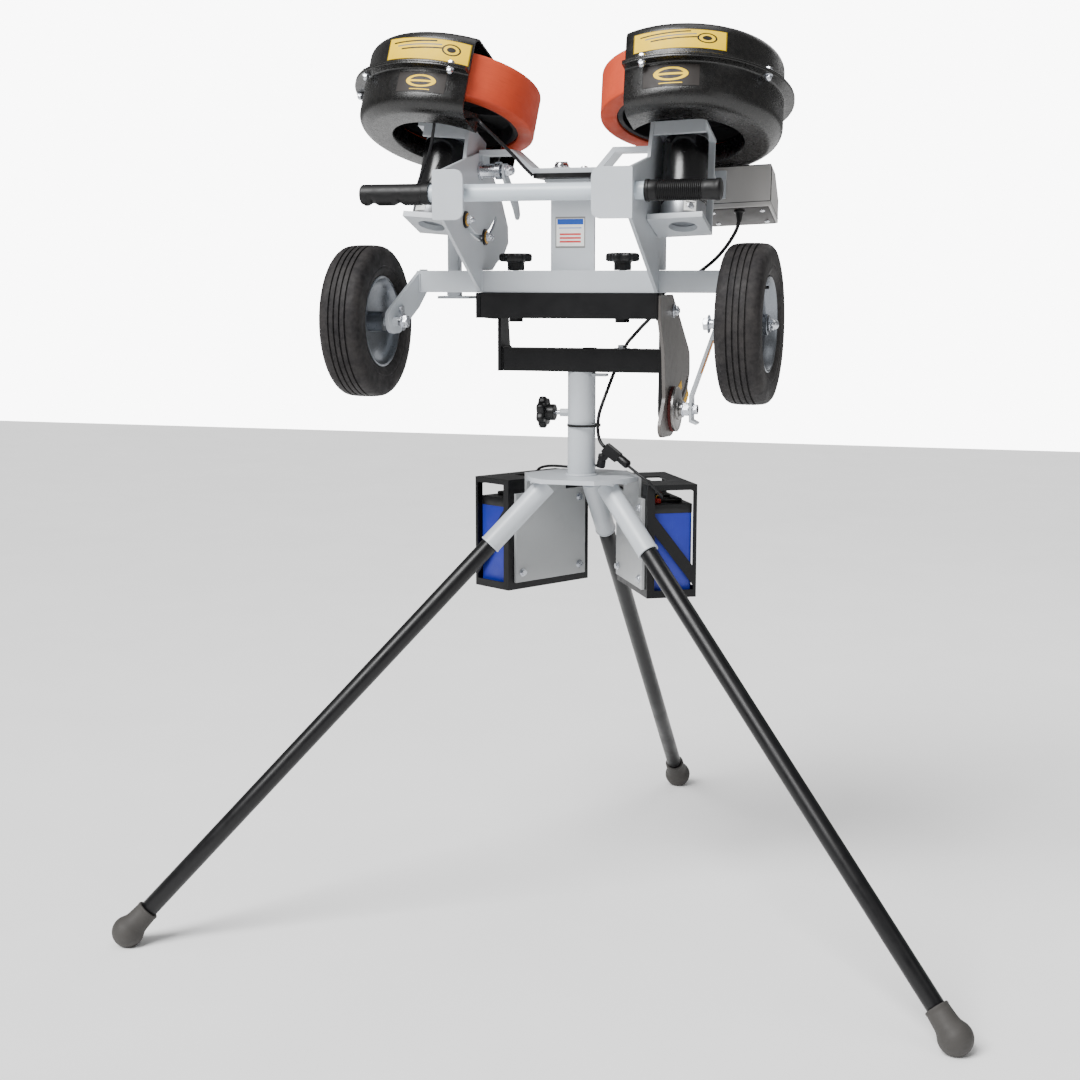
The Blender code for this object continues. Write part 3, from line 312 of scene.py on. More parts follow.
def disc_mark(f, u, v, centre_u, centre_v, radius_u, radius_v):
    du = f.math("DIVIDE", f.math("SUBTRACT", u, centre_u), radius_u)
    dv = f.math("DIVIDE", f.math("SUBTRACT", v, centre_v), radius_v)
    reach = f.math("ADD", f.math("MULTIPLY", du, du), f.math("MULTIPLY", dv, dv))
    return f.math("LESS_THAN", reach, 1.0)


def bar_mark(f, u, v, low_u, high_u, centre_v, half_v, slant=0.0):
    line = f.math("ADD", v, f.math("MULTIPLY", u, slant))
    rows = f.math("COMPARE", line, centre_v, half_v)
    columns = f.math("COMPARE", u, (low_u + high_u) / 2, (high_u - low_u) / 2)
    return f.math("MULTIPLY", rows, columns)


def ticks_mark(f, u, v, count, low_v, high_v, share):
    phase = f.math("FRACT", f.math("MULTIPLY", u, count))
    return f.math("MULTIPLY", f.math("LESS_THAN", phase, share),
                  f.math("COMPARE", v, (low_v + high_v) / 2, (high_v - low_v) / 2))


MARKS = {"disc": disc_mark, "bar": bar_mark, "ticks": ticks_mark}


def make_materials():
    """Every finish, by the name that pieces ask for it."""
    grey = srgb(188, 193, 198)
    yellow, dark, white = srgb(250, 206, 8), srgb(30, 28, 28), srgb(235, 235, 232)
    return {
        "grey_paint": painted("grey_powder_coat", grey),
        "ear_paint": painted("handle_grey_paint", srgb(196, 206, 214), rough=0.34),
        "weld_paint": painted("weld_grey_paint", srgb(182, 187, 192), rough=0.42, peel=0.00012),
        "black_paint": painted("black_powder_coat", srgb(12, 12, 14), rough=0.4, grime=0.2, coat=0.05,
                               shine=0.25),
        "weld_black": painted("weld_black_paint", srgb(12, 12, 14), rough=0.45, peel=0.00012, coat=0.05,
                              shine=0.25),
        "quadrant_paint": painted("quadrant_paint", srgb(84, 80, 77), rough=0.36),
        "panel_paint": painted("battery_panel_paint", srgb(160, 162, 163), rough=0.45, grime=0.25),
        "leg_paint": painted("leg_gloss_black", srgb(8, 8, 10), rough=0.36, coat=0.08, grime=0.05,
                             peel=0.00001, shine=0.3),
        "box_paint": painted("control_box_paint", srgb(180, 178, 176), rough=0.45),
        # Dark paint for the thin plate under the control box: painted shade of the box's underside, with a
        # little grime.
        "box_underside_shade": painted("control_box_shade_plate", srgb(40, 36, 35), rough=0.55, grime=0.2),
        "motor_paint": painted("motor_gloss_black", srgb(10, 10, 12), rough=0.22, coat=0.5, grime=0.1,
                               shine=0.4),
        "guard": guard_plastic(),
        "urethane": urethane(),
        "tyre": tyre_rubber(),
        "battery": battery_case(),
        "black_plastic": moulded("black_moulded_plastic", srgb(14, 14, 15), rough=0.36, pebble=0.00005),
        "hub_plastic": moulded("wheel_hub_black", srgb(30, 30, 32), rough=0.5),
        "rubber": moulded("foot_rubber", srgb(62, 60, 58), rough=0.62, pebble=0.0002, scale=300.0),
        "grip": moulded("grip_rubber", srgb(12, 12, 13), rough=0.42, pebble=0.00006),
        "cable": moulded("cable_jacket", srgb(26, 26, 28), rough=0.42, pebble=0.00003),
        "red": moulded("red_boot", srgb(196, 36, 26), rough=0.4, pebble=0.00003),
        "friction": moulded("friction_lining", srgb(84, 38, 36), rough=0.75, pebble=0.0002, scale=700.0),
        "zinc": metal("zinc_plate", srgb(205, 208, 214), rough=0.26),
        "brass": metal("yellow_zinc", srgb(214, 166, 84), rough=0.3),
        "chrome": metal("bright_chrome", srgb(228, 230, 234), rough=0.14, patina=0.05),
        "steel": metal("turned_steel", srgb(150, 148, 146), rough=0.34, brushed=(1, 1, 12)),
        "rim": metal("pressed_rim", srgb(132, 136, 142), rough=0.32, patina=0.35),
        "silver": metal("motor_end_silver", srgb(176, 178, 182), rough=0.34, brushed=(1, 1, 14)),
        "yellow_label": label("yellow_label", yellow, [
            ("bar", dark, (0.08, 0.62, 0.74, 0.035, -0.25)),
            ("bar", srgb(120, 120, 122), (0.14, 0.68, 0.58, 0.03, -0.25)),
            ("bar", dark, (0.20, 0.74, 0.42, 0.035, -0.25)), ("disc", dark, (0.79, 0.56, 0.105, 0.27)),
            ("disc", yellow, (0.79, 0.56, 0.085, 0.21)), ("disc", dark, (0.79, 0.56, 0.05, 0.12))], 0.012),
        "dark_label": label("dark_label", srgb(44, 40, 38), [
            ("disc", yellow, (0.5, 0.55, 0.30, 0.30)), ("disc", srgb(44, 40, 38), (0.5, 0.55, 0.22, 0.22)),
            ("bar", yellow, (0.2, 0.8, 0.55, 0.045)), ("bar", yellow, (0.3, 0.7, 0.14, 0.02))], 0.015),
        "plate_label": label("plate_label", white, [
            ("bar", srgb(40, 80, 165), (0.06, 0.94, 0.84, 0.09)),
            ("bar", srgb(90, 120, 190), (0.12, 0.88, 0.64, 0.015)),
            ("bar", srgb(200, 60, 60), (0.14, 0.86, 0.44, 0.03)),
            ("bar", srgb(200, 60, 60), (0.14, 0.86, 0.32, 0.03)),
            ("bar", srgb(200, 60, 60), (0.14, 0.86, 0.20, 0.03))], 0.03),
        "scale_label": label("scale_label", srgb(226, 172, 30), [
            ("ticks", dark, (14.0, 0.1, 0.5, 0.16)), ("ticks", dark, (3.5, 0.1, 0.8, 0.05))], 0.01),
        "lever_label": label("lever_label", srgb(222, 140, 28), [
            ("bar", srgb(120, 60, 20), (0.12, 0.88, 0.5, 0.08)), ], 0.02),
        "motor_label": label("motor_label", white, [
            ("bar", dark, (0.15, 0.85, 0.8, 0.03)), ("bar", srgb(130, 130, 130), (0.15, 0.75, 0.62, 0.02)),
            ("bar", srgb(130, 130, 130), (0.15, 0.85, 0.48, 0.02)),
            ("bar", srgb(130, 130, 130), (0.15, 0.6, 0.34, 0.02)),
            ], 0.03),
        "dial_face": label("dial_face", srgb(38, 40, 44), [
            ("disc", white, (0.27, 0.5, 0.15, 0.36)), ("disc", srgb(38, 40, 44), (0.27, 0.5, 0.14, 0.335)),
            ("disc", white, (0.64, 0.5, 0.15, 0.36)), ("disc", srgb(38, 40, 44), (0.64, 0.5, 0.14, 0.335)),
            ("bar", srgb(190, 40, 30), (0.86, 0.96, 0.86, 0.04))], 0.02),
    }


MATERIALS = make_materials()


# ---- shapes: (points, faces) in millimetres --------------------------------------------------
WORLD = Matrix.Identity(4)


def stack(rings, closed=False):
    """A skin through rings of equal count, capped at its ends unless it closes on itself."""
    count, last = len(rings[0]), len(rings) if closed else len(rings) - 1
    faces = []
    for k in range(last):
        a, b = k * count, ((k + 1) % len(rings)) * count
        faces += [(a + i, a + (i + 1) % count, b + (i + 1) % count, b + i) for i in range(count)]
    if not closed:
        faces += [tuple(range(count)), tuple(range((len(rings) - 1) * count, len(rings) * count))]
    return [Vector(p) for ring in rings for p in ring], faces


def ring(radius, z, segments, wave=None):
    """Points round local Z; wave adds to the radius at each angle."""
    angles = [2 * math.pi * i / segments for i in range(segments)]
    reach = [radius + (wave(t) if wave else 0.0) for t in angles]
    return [(r * math.cos(t), r * math.sin(t), z) for r, t in zip(reach, angles)]


def turned(profile, segments=64, hollow=False):
    return stack([ring(r, z, segments) for r, z in profile], closed=hollow)


def prism(outline, low, high):
    return stack([[(x, y, z) for x, y in outline] for z in (low, high)])


def block(low, high):
    (x0, y0, z0), (x1, y1, z1) = low, high
    return prism([(x0, y0), (x1, y0), (x1, y1), (x0, y1)], z0, z1)


def moved(shape, place):
    return [place @ p for p in shape[0]], shape[1]


def arc(centre, radius, start, end, steps):
    spans = [math.radians(start + (end - start) * k / steps) for k in range(steps + 1)]
    return [(centre[0] + radius * math.cos(t), centre[1] + radius * math.sin(t)) for t in spans]


def rounded_box(half_x, half_y, radius, steps=6):
    """A rectangle with round corners, about the local origin."""
    x, y = half_x - radius, half_y - radius
    return (arc((x, y), radius, 0, 90, steps) + arc((-x, y), radius, 90, 180, steps)
            + arc((-x, -y), radius, 180, 270, steps) + arc((x, -y), radius, 270, 360, steps))


def pillow(half_x, half_y, radius, low, high, edge):
    """A block with round corners and softened top and bottom edges."""
    levels = [(edge, low), (edge * 0.3, low + edge * 0.3), (0, low + edge), (0, high - edge),
              (edge * 0.3, high - edge * 0.3), (edge, high)]
    return stack([[(x, y, z) for x,
                   y in rounded_box(half_x - inset, half_y - inset, max(radius - inset, 0.2))]
                  for inset, z in levels])


def smooth_points(route, spacing):
    """Points every so often along a smooth curve through the route."""
    points = [Vector(p) for p in route]
    padded = [points[0] * 2 - points[1]] + points + [points[-1] * 2 - points[-2]]
    fine = []
    for i in range(1, len(padded) - 2):
        a, b, c, d = padded[i - 1:i + 3]
        for k in range(20):
            t = k / 20
            fine.append(0.5 * (2 * b + (c - a) * t + (2 * a - 5 * b + 4 * c - d) * t * t
                               + (3 * b - a - 3 * c + d) * t ** 3))
    fine.append(points[-1])
    kept, run = [fine[0]], 0.0
    for before, after in zip(fine, fine[1:]):
        run += (after - before).length
        if run >= spacing:
            kept.append(after)
            run = 0.0
    if (kept[-1] - fine[-1]).length < spacing * 0.5:
        kept.pop()
    return kept + [fine[-1]]


def tube(points, radius, sides=16, swell=None):
    """A round bar along points; swell scales the radius at each one."""
    points = [Vector(p) for p in points]
    forward = (points[1] - points[0]).normalized()
    side = forward.orthogonal().normalized()
    rings = []
    for i, point in enumerate(points):
        ahead = points[min(i + 1, len(points) - 1)] - points[max(i - 1, 0)]
        turn = forward.rotation_difference(ahead.normalized())
        side = (turn @ side).normalized()
        forward = ahead.normalized()
        up = forward.cross(side)
        reach = radius * (swell(i) if swell else 1.0)
        rings.append([point + side * reach * math.cos(t) + up * reach * math.sin(t)
                      for t in [2 * math.pi * k / sides for k in range(sides)]])
    return stack(rings)


def bead(corners, radius=2.4, closed=False):
    """A weld bead along a path, with the ripples a torch leaves."""
    corners = [Vector(c) for c in corners] + ([Vector(corners[0])] if closed else [])
    path = []
    for a, b in zip(corners, corners[1:]):
        steps = max(2, int((b - a).length / 1.1))
        path += [a.lerp(b, k / steps) for k in range(steps)]
    path.append(corners[-1])
    return tube(path, radius, 8, lambda i: 0.92 + 0.16 * abs(math.sin(i * 0.95)))


def bead_ring(radius, place, size=2.4):
    turns = int(radius * 5)
    return moved(bead([(radius * math.cos(2 * math.pi * k / turns),
                        radius * math.sin(2 * math.pi * k / turns), 0)
                       for k in range(turns + 1)], size), place)


def hex_head(radius, height, washer=0.0, acorn=False, thick=1.6):
    """A hexagon head or nut on its washer, standing on local Z = 0, with a chamfered crown."""
    shapes, base = [], 0.0
    if washer:
        shapes.append(turned([(washer - 0.3, 0), (washer, 0.3), (washer, thick - 0.3),
                              (washer - 0.3, thick)], 40))
        base = thick
    six = 36

    def hexagon(reach, limit, z):
        points = []
        for k in range(six):
            t = 2 * math.pi * k / six
            flat = reach * math.cos(math.pi / 6) / math.cos((t % (math.pi / 3)) - math.pi / 6)
            r = min(flat, limit)
            points.append((r * math.cos(t), r * math.sin(t), z))
        return points

    top = base + height
    shapes.append(stack([hexagon(radius, radius, base), hexagon(radius, radius, top - height * 0.22),
                         hexagon(radius, radius * 0.94, top - height * 0.08),
                         hexagon(radius, radius * 0.87, top)]))
    if acorn:
        dome = [(radius * 0.82 * math.cos(math.radians(a)),
                 top - 0.2 + radius * 0.75 * math.sin(math.radians(a)))
                for a in range(0, 90, 12)]
        shapes.append(turned(dome, 32))
    return shapes


def fluted_knob(stud_length, stud_r, head_r=27.0, lobes=7):
    """A lobed clamping knob with a hub, soft edges and a dished face; the stud runs to -Z."""
    count = lobes * 20

    def lobe(scale):
        return lambda t: 0.10 * head_r * scale * math.cos(lobes * t)

    rings = [ring(14.2, 0, count), ring(15.0, 1.0, count), ring(15.0, 13.0, count), ring(16.5, 14.6, count),
             ring(head_r - 3.0, 15.2, count, lobe(0.9)), ring(head_r - 0.8, 16.6, count, lobe(1)),
             ring(head_r, 18.6, count, lobe(1)), ring(head_r, 25.6, count, lobe(1)),
             ring(head_r - 0.9, 27.8, count, lobe(0.98)), ring(head_r - 3.4, 29.4, count, lobe(0.85)),
             ring(head_r - 8.0, 29.9, count, lobe(0.3)), ring(13.0, 29.2, count), ring(11.5, 27.4, count),
             ring(4.0, 27.2, count)]
    return [stack(rings)], [turned([(stud_r - 1, -stud_length), (stud_r, -stud_length + 1), (stud_r, 0.6)],
                                   32)]


# ---- objects -----------------------------------------------------------------------------------
def metres(place):
    """A placement in millimetres, as a world matrix in the row frame."""
    world = place.copy()
    world.translation = place.translation * MM
    return ROW @ world


def tidy_mesh(mesh, sharp):
    bm = bmesh.new()
    bm.from_mesh(mesh)
    bmesh.ops.recalc_face_normals(bm, faces=bm.faces)
    bm.to_mesh(mesh)
    bm.free()
    mesh.shade_smooth()
    mesh.set_sharp_from_angle(angle=math.radians(sharp))


def place_piece(name, mesh, finish, body, world, nodes, edge):
    mesh.materials.append(MATERIALS[finish])
    obj = bpy.data.objects.new(name, mesh)
    bpy.context.scene.collection.objects.link(obj)
    obj.matrix_world = world
    if edge:
        bevel = obj.modifiers.new("soft_edges", "BEVEL")
        bevel.width = edge * MM
        bevel.segments = 2
        bevel.limit_method = "ANGLE"
        bevel.angle_limit = math.radians(40)
        bevel.use_clamp_overlap = True
        bevel.harden_normals = True
    if body:
        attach(obj, body)
    if nodes:
        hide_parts(*nodes)
    return obj


def make(name, shapes, finish, body, place=WORLD, nodes=(), edge=0.0, sharp=38.0, clip=None):
    """One piece from closed shapes. clip is (point, normal): what lies beyond that plane is cut off."""
    points, faces = [], []
    for shape in shapes:
        base = len(points)
        points += [p * MM for p in shape[0]]
        faces += [tuple(base + i for i in face) for face in shape[1]]
    mesh = bpy.data.meshes.new(name)
    mesh.from_pydata(points, [], faces)
    if clip:
        bm = bmesh.new()
        bm.from_mesh(mesh)
        cut = bmesh.ops.bisect_plane(bm, geom=bm.verts[:] + bm.edges[:] + bm.faces[:], dist=1e-7,
                                     plane_co=Vector(clip[0]) * MM, plane_no=Vector(clip[1]),
                                     clear_outer=True)
        rim = [e for e in cut["geom_cut"] if isinstance(e, bmesh.types.BMEdge)]
        bmesh.ops.holes_fill(bm, edges=rim, sides=0)
        bm.to_mesh(mesh)
        bm.free()
    tidy_mesh(mesh, sharp)
    return place_piece(name, mesh, finish, body, metres(place), nodes, edge)


def refined(node, finish, edge=0.7, sharp=35.0):
    """The CAD node's own shape, its flats merged and its edges softened."""
    source = frame["nodes"][node]
    bm = bmesh.new()
    bm.from_mesh(source.data)
    bmesh.ops.remove_doubles(bm, verts=bm.verts, dist=2e-5)
    bmesh.ops.dissolve_limit(bm, angle_limit=math.radians(0.8), verts=bm.verts, edges=bm.edges)
    bm.verts.index_update()
    points = [v.co.copy() for v in bm.verts]
    faces = [[v.index for v in face.verts] for face in bm.faces]
    bm.free()
    mesh = bpy.data.meshes.new(f"{node}_shape")
    mesh.from_pydata(points, [], faces)
    tidy_mesh(mesh, sharp)
    return place_piece(f"{node}_shape", mesh, finish, BODY_OF[node], source.matrix_world.copy(), (node,),
                       edge)


def sticker(name, finish, body, surface, columns=24, rows=10, thick=0.35):
    """A printed label: surface(u, v) gives the point under it and the way out, in millimetres."""
    points, coords, faces = [], [], []
    for lift in (thick, 0.03):
        for j in range(rows + 1):
            for i in range(columns + 1):
                u, v = i / columns, j / rows
                at, out = surface(u, v)
                points.append((Vector(at) + Vector(out).normalized() * lift) * MM)
                coords.append((u, v))
    wide, layer = columns + 1, (columns + 1) * (rows + 1)
    for j in range(rows):
        for i in range(columns):
            a = j * wide + i
            faces.append((a, a + 1, a + wide + 1, a + wide))
            faces.append((layer + a, layer + a + wide, layer + a + wide + 1, layer + a + 1))
    rim = ([(i, 0) for i in range(columns)] + [(columns, j) for j in range(rows)]
           + [(columns - i, rows) for i in range(columns)] + [(0, rows - j) for j in range(rows)])
    border = [j * wide + i for i, j in rim]
    for k, a in enumerate(border):
        b = border[(k + 1) % len(border)]
        faces.append((a, a + layer, b + layer, b))
    mesh = bpy.data.meshes.new(name)
    mesh.from_pydata(points, [], faces)
    uv = mesh.uv_layers.new(name="label")
    for loop in mesh.loops:
        uv.data[loop.index].uv = coords[loop.vertex_index]
    tidy_mesh(mesh, 40)
    return place_piece(name, mesh, finish, body, ROW, (), 0)


def on_plane(place, width, height):
    """A flat label's surface: centred on a placement whose local Z is the way out."""
    out = place.to_3x3() @ Vector((0, 0, 1))
    return lambda u, v: (place @ Vector(((u - 0.5) * width, (v - 0.5) * height, 0)), out)


def on_drum(place, radius, start, end, low, high, slant=0.0):
    """A label wrapped on a cylinder about local Z, between two angles and two heights."""
    turn = place.to_3x3()

    def surface(u, v):
        angle = math.radians(start + (end - start) * u)
        out = Vector((math.cos(angle), math.sin(angle), 0))
        return place @ (out * radius + Vector((0, 0, low + (high - low) * v + slant * (u - 0.5)))), turn @ out
    return surface


# ---- camera ---------------------------------------------------------------------------------------
def make_camera():
    data = bpy.data.cameras.new("camera")
    data.lens, data.sensor_width = 56.67, 36.0
    camera = bpy.data.objects.new("camera", data)
    bpy.context.scene.collection.objects.link(camera)
    camera.location = (0.850, -3.1755, 1.185)
    camera.rotation_euler = (math.radians(81.2), 0.0, math.radians(17.39))
    bpy.context.scene.camera = camera


# ---- leads ----------------------------------------------------------------------------------------
UPPER_LEAD = [(287.4, -22.8, 1294.8), (288, -26, 1283), (284, -31, 1264), (270, -40, 1238), (250, -45, 1214),
              (222, -46, 1192), (192, -45, 1173), (168, -43, 1163), (151, -41, 1146), (136, -36, 1116),
              (114, -20, 1096), (96, 0, 1081), (81, 22, 1070), (73, 31, 1060), (68, 32.5, 1050)]
LOWER_LEAD = [(65.6, 33, 1044.5), (59.5, 33, 1030), (51, 30, 1010), (43, 24, 985), (36, 14, 960),
              (31, 6, 938),
              (29.8, 3, 918), (31, 1, 904), (35, -2, 892), (40, -5, 885.4), (44.6, -7, 881.6)]
BATTERY_LEADS = {
    "left": [(40.6, -6, 858.0), (37, -5, 853), (35, 8, 848), (28, 24, 844), (14, 40, 841), (-6, 52, 838),
             (-26, 61, 835), (-48, 68, 834), (-72, 76, 834), (-92, 84, 832), (-108, 89, 827),
             (-114.5, 89.5, 818), (-115, 89.5, 806), (-115, 89.5, 796)],
    "right": [(73.4, -7, 861.6), (86, -13, 853), (100, -23, 845), (116, -32, 836), (132, -36, 826),
              (146, -34, 812),
              (154, -28, 802), (155, -20, 796), (150, -9, 793), (143, 2, 792)],
}


def make_leads():
    """The power lead in its two curved runs, and the battery branches."""
    for level, route, above, below in (("upper", UPPER_LEAD, "head", "yoke"),
                                       ("lower", LOWER_LEAD, "yoke", "stand")):
        node = f"power_lead_{level}"
        jacket = make(f"{node}_jacket", [tube(smooth_points(route, 4.0), 3.25, 20)], "cable", None,
                      nodes=(node,))
        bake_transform(jacket)
    for side, route in BATTERY_LEADS.items():
        make(f"battery_lead_{side}_jacket", [tube(smooth_points(route, 4.0), 2.5, 18)], "cable", "stand",
             nodes=(f"battery_lead_{side}",))


def tie(name, place, radius, body, lock_angle=0.0):
    """A cable tie: a plain band and its lock."""
    band = turned([(radius, -2.2), (radius + 1.2, -2.2), (radius + 1.2, 2.2), (radius, 2.2)], 48, hollow=True)
    lock = moved(pillow(2.6, 3.2, 0.8, -2.8, 2.8, 0.5),
                 Matrix.Rotation(math.radians(lock_angle), 4, "Z") @ Matrix.Translation((radius + 2.4, 0, 0)))
    make(name, [band, lock], "black_plastic", body, place)


# ---- the stand ---------------------------------------------------------------------------------------
def make_stand():
    refined("stand_hub", "grey_paint", edge=0.8)
    beads = [bead_ring(POST_R + 1.4, Matrix.Translation((0, 0, 829.0)), 2.6)]
    for side, azimuth in LEG_AZIMUTHS.items():
        top, low = leg_line(azimuth, 66), leg_line(azimuth, 190)
        socket, _ = along(top, low)
        lip = socket @ Matrix.Translation((0, 0, (leg_line(azimuth, 170.2) - top).length))
        make(f"socket_lip_{side}", [turned([(16.5, -2.2), (SOCKET_R + 0.5, -2.2), (SOCKET_R + 0.8, -0.4),
                                            (SOCKET_R + 0.3, 1.2), (16.5, 1.2)], 64, hollow=True)],
             "grey_paint", "stand", lip)
        outer = BOX_DIST - 6.6 if azimuth in (30.0, 150.0, 270.0) else 99.0
        for sign in (-1, 1):
            run = [around(azimuth) @ Vector((r, sign * (SOCKET_R - 2.5), 819.2)) for r in (48, outer)]
            beads.append(bead(run, 2.6))
        leg = [(LEG_R - 0.6, 0), (LEG_R, 0.8), (LEG_R, 300), (LEG_R, 700)]
        start, end = leg_line(azimuth, 85), leg_line(azimuth, FOOT_REACH - 12)
        place, length = along(start, end)
        leg.append((LEG_R, length - 0.8))
        leg.append((LEG_R - 0.6, length))
        make(f"leg_tube_{side}", [turned(leg, 72)], "leg_paint", "stand", place, (f"leg_{side}",))
        make_foot(side, azimuth)
    make("stand_welds", beads, "weld_paint", "stand")
    for side, (azimuth, front) in BOX_AZIMUTHS.items():
        make_battery_bay(side, around(azimuth), front)
    refined("y_connector", "black_plastic", edge=1.2)
    barrels = {"left": ((42, -6, 868), (37, -4, 842)), "right": ((68, -6, 866), (93, -18, 850))}
    for side, (start, end) in barrels.items():
        place, length = along(start, end)
        make(f"y_barrel_{side}", [turned([(4, 0), (7.2, 0.6), (8, 2), (8, 9), (7.2, 9.8), (7.2, 12),
                                          (8, 12.8),
                                          (8, length - 3), (6.6, length - 1), (3, length)], 48)],
             "black_plastic", "stand", place)
    tie("post_tie", Matrix.Translation((4.2, 0.4, 919)), 29.6, "stand", 75)


def make_foot(side, azimuth):
    """A moulded ball foot with its necked sleeve, flat where it stands."""
    start = leg_line(azimuth, FOOT_REACH)
    place, _ = along(start, leg_line(azimuth, FOOT_REACH - 60))
    profile = [(0.5, -FOOT_R)]
    profile += [(FOOT_R * math.sin(math.radians(a)), -FOOT_R * math.cos(math.radians(a))) for a in range(6,
                                                            122, 6)]
    profile += [(22.2, 20.0), (21.4, 25.0), (20.8, 34.0), (20.2, 44.0), (20.0, 48.0), (20.5, 49.0),
                (20.5, 52.0),
                (19.4, 53.4), (16.1, 53.4), (16.1, 48.0)]
    down = place.inverted().to_3x3() @ Vector((0, 0, -1))
    ground = place.inverted() @ Vector((start.x, start.y, 0.0))
    seam = turned([(FOOT_R - 0.3, -0.7), (FOOT_R + 0.15, 0), (FOOT_R - 0.3, 0.7)], 96)
    make(f"ball_foot_{side}", [turned(profile, 96), seam], "rubber", "stand", place, (f"foot_{side}",),
         clip=(ground, down))


def make_battery_bay(side, frame_at, front):
    """Carrier plate, sheet case and a battery with its lid, terminals and straps."""
    refined(f"battery_panel_{side}", "panel_paint", edge=0.6)
    refined(f"battery_case_{side}", "black_paint", edge=0.5)
    near, far = BOX_DIST, BOX_DIST + BOX_DEPTH
    low, high = BOX_Z
    start, end = sorted((front * BOX_FRONT, -front * BOX_REAR))
    middle, half_y = (start + end) / 2, (end - start) / 2 - 10
    centre, half_x = (near + far) / 2, BOX_DEPTH / 2 - 6
    at = frame_at @ Matrix.Translation((centre, middle, 0))
    make(f"battery_block_{side}", [pillow(half_x, half_y, 5.0, low + 3.4, high - 52.0, 1.6)], "battery",
         "stand",
         at, (f"battery_{side}",))
    ribs = [moved(pillow(1.5, 1.5, 0.8, low + 12, high - 62, 0.6),
                  Matrix.Translation((sx * (half_x - 0.2), y, 0)))
            for sx in (-1, 1) for y in (-60, -30, 0, 30, 60)]
    make(f"battery_ribs_{side}", ribs, "battery", "stand", at)
    lid = [pillow(half_x + 0.6, half_y + 0.6, 5.0, high - 53.0, high - 36.0, 1.4),
           pillow(half_x - 9, half_y - 30, 4.0, high - 37.0, high - 30.0, 1.2)]
    coil = [(-26 + 10 * math.sin(k * 0.9), -70 + 14 * k,
             high - 22 + 6 * math.cos(k * 1.7)) for k in range(11)]
    make(f"battery_loom_{side}", [tube(smooth_points([Vector(p) for p in coil], 3.0), 3.6, 16)], "cable",
         "stand", at)
    lid += [moved(turned([(8.0, high - 31), (8.4, high - 28.2), (7.4, high - 27), (3.0, high - 27.4)], 32),
                  Matrix.Translation((9, y, 0))) for y in (-30, -15, 0, 15, 30)]
    make(f"battery_lid_{side}", lid, "black_plastic", "stand", at)
    for sign, tint in ((-1, "red"), (1, "black_plastic")):
        post = at @ Matrix.Translation((28 - BOX_DEPTH / 2, sign * 66.0, 0))
        make(f"terminal_{'ab'[sign > 0]}_{side}",
             [turned([(9.2, high - 41), (9.2, high - 38), (8.0, high - 37), (7.2, high - 30),
                      (6.4, high - 28),
                      (2.0, high - 27.4)], 40)], tint, "stand", post)
        make(f"terminal_stud_{'ab'[sign > 0]}_{side}", hex_head(4.6, 3.2, 6.4), "brass", "stand",
             post @ Matrix.Translation((0, 0, high - 27.6)))
        wire = [Vector((28 - BOX_DEPTH / 2 + 5, sign * 66, high - 29)), Vector((-8, sign * 52, high - 24)),
                Vector((-3, sign * 36, high - 22)), Vector((-2, sign * 20, high - 24)),
                Vector((2, sign * 6, high - 29))]
        make(f"battery_wire_{'ab'[sign > 0]}_{side}", [tube(smooth_points(wire, 3.0), 1.7, 12)],
             "red" if sign < 0 else "cable", "stand", at)
    bolts = []
    for y in (start + 30, end - 30):
        for z in (low + 32, high - 44):
            bolts += [moved(s, axes((near - 6.3, y, z), (0, -1, 0), (0, 0, 1),
                                    (-1, 0, 0))) for s in hex_head(5.6, 4.4, 7.6)]
    make(f"panel_bolts_{side}", bolts, "zinc", "stand", frame_at)
    straps = [bead([(near + 0.4, y0, z), (near + 0.4, y1, z)], 1.6)
              for z in (low + 20, high - 24) for y0, y1 in ((start + 16, start + 34), (end - 34, end - 16))]
    make(f"case_welds_{side}", straps, "weld_black", "stand", frame_at)


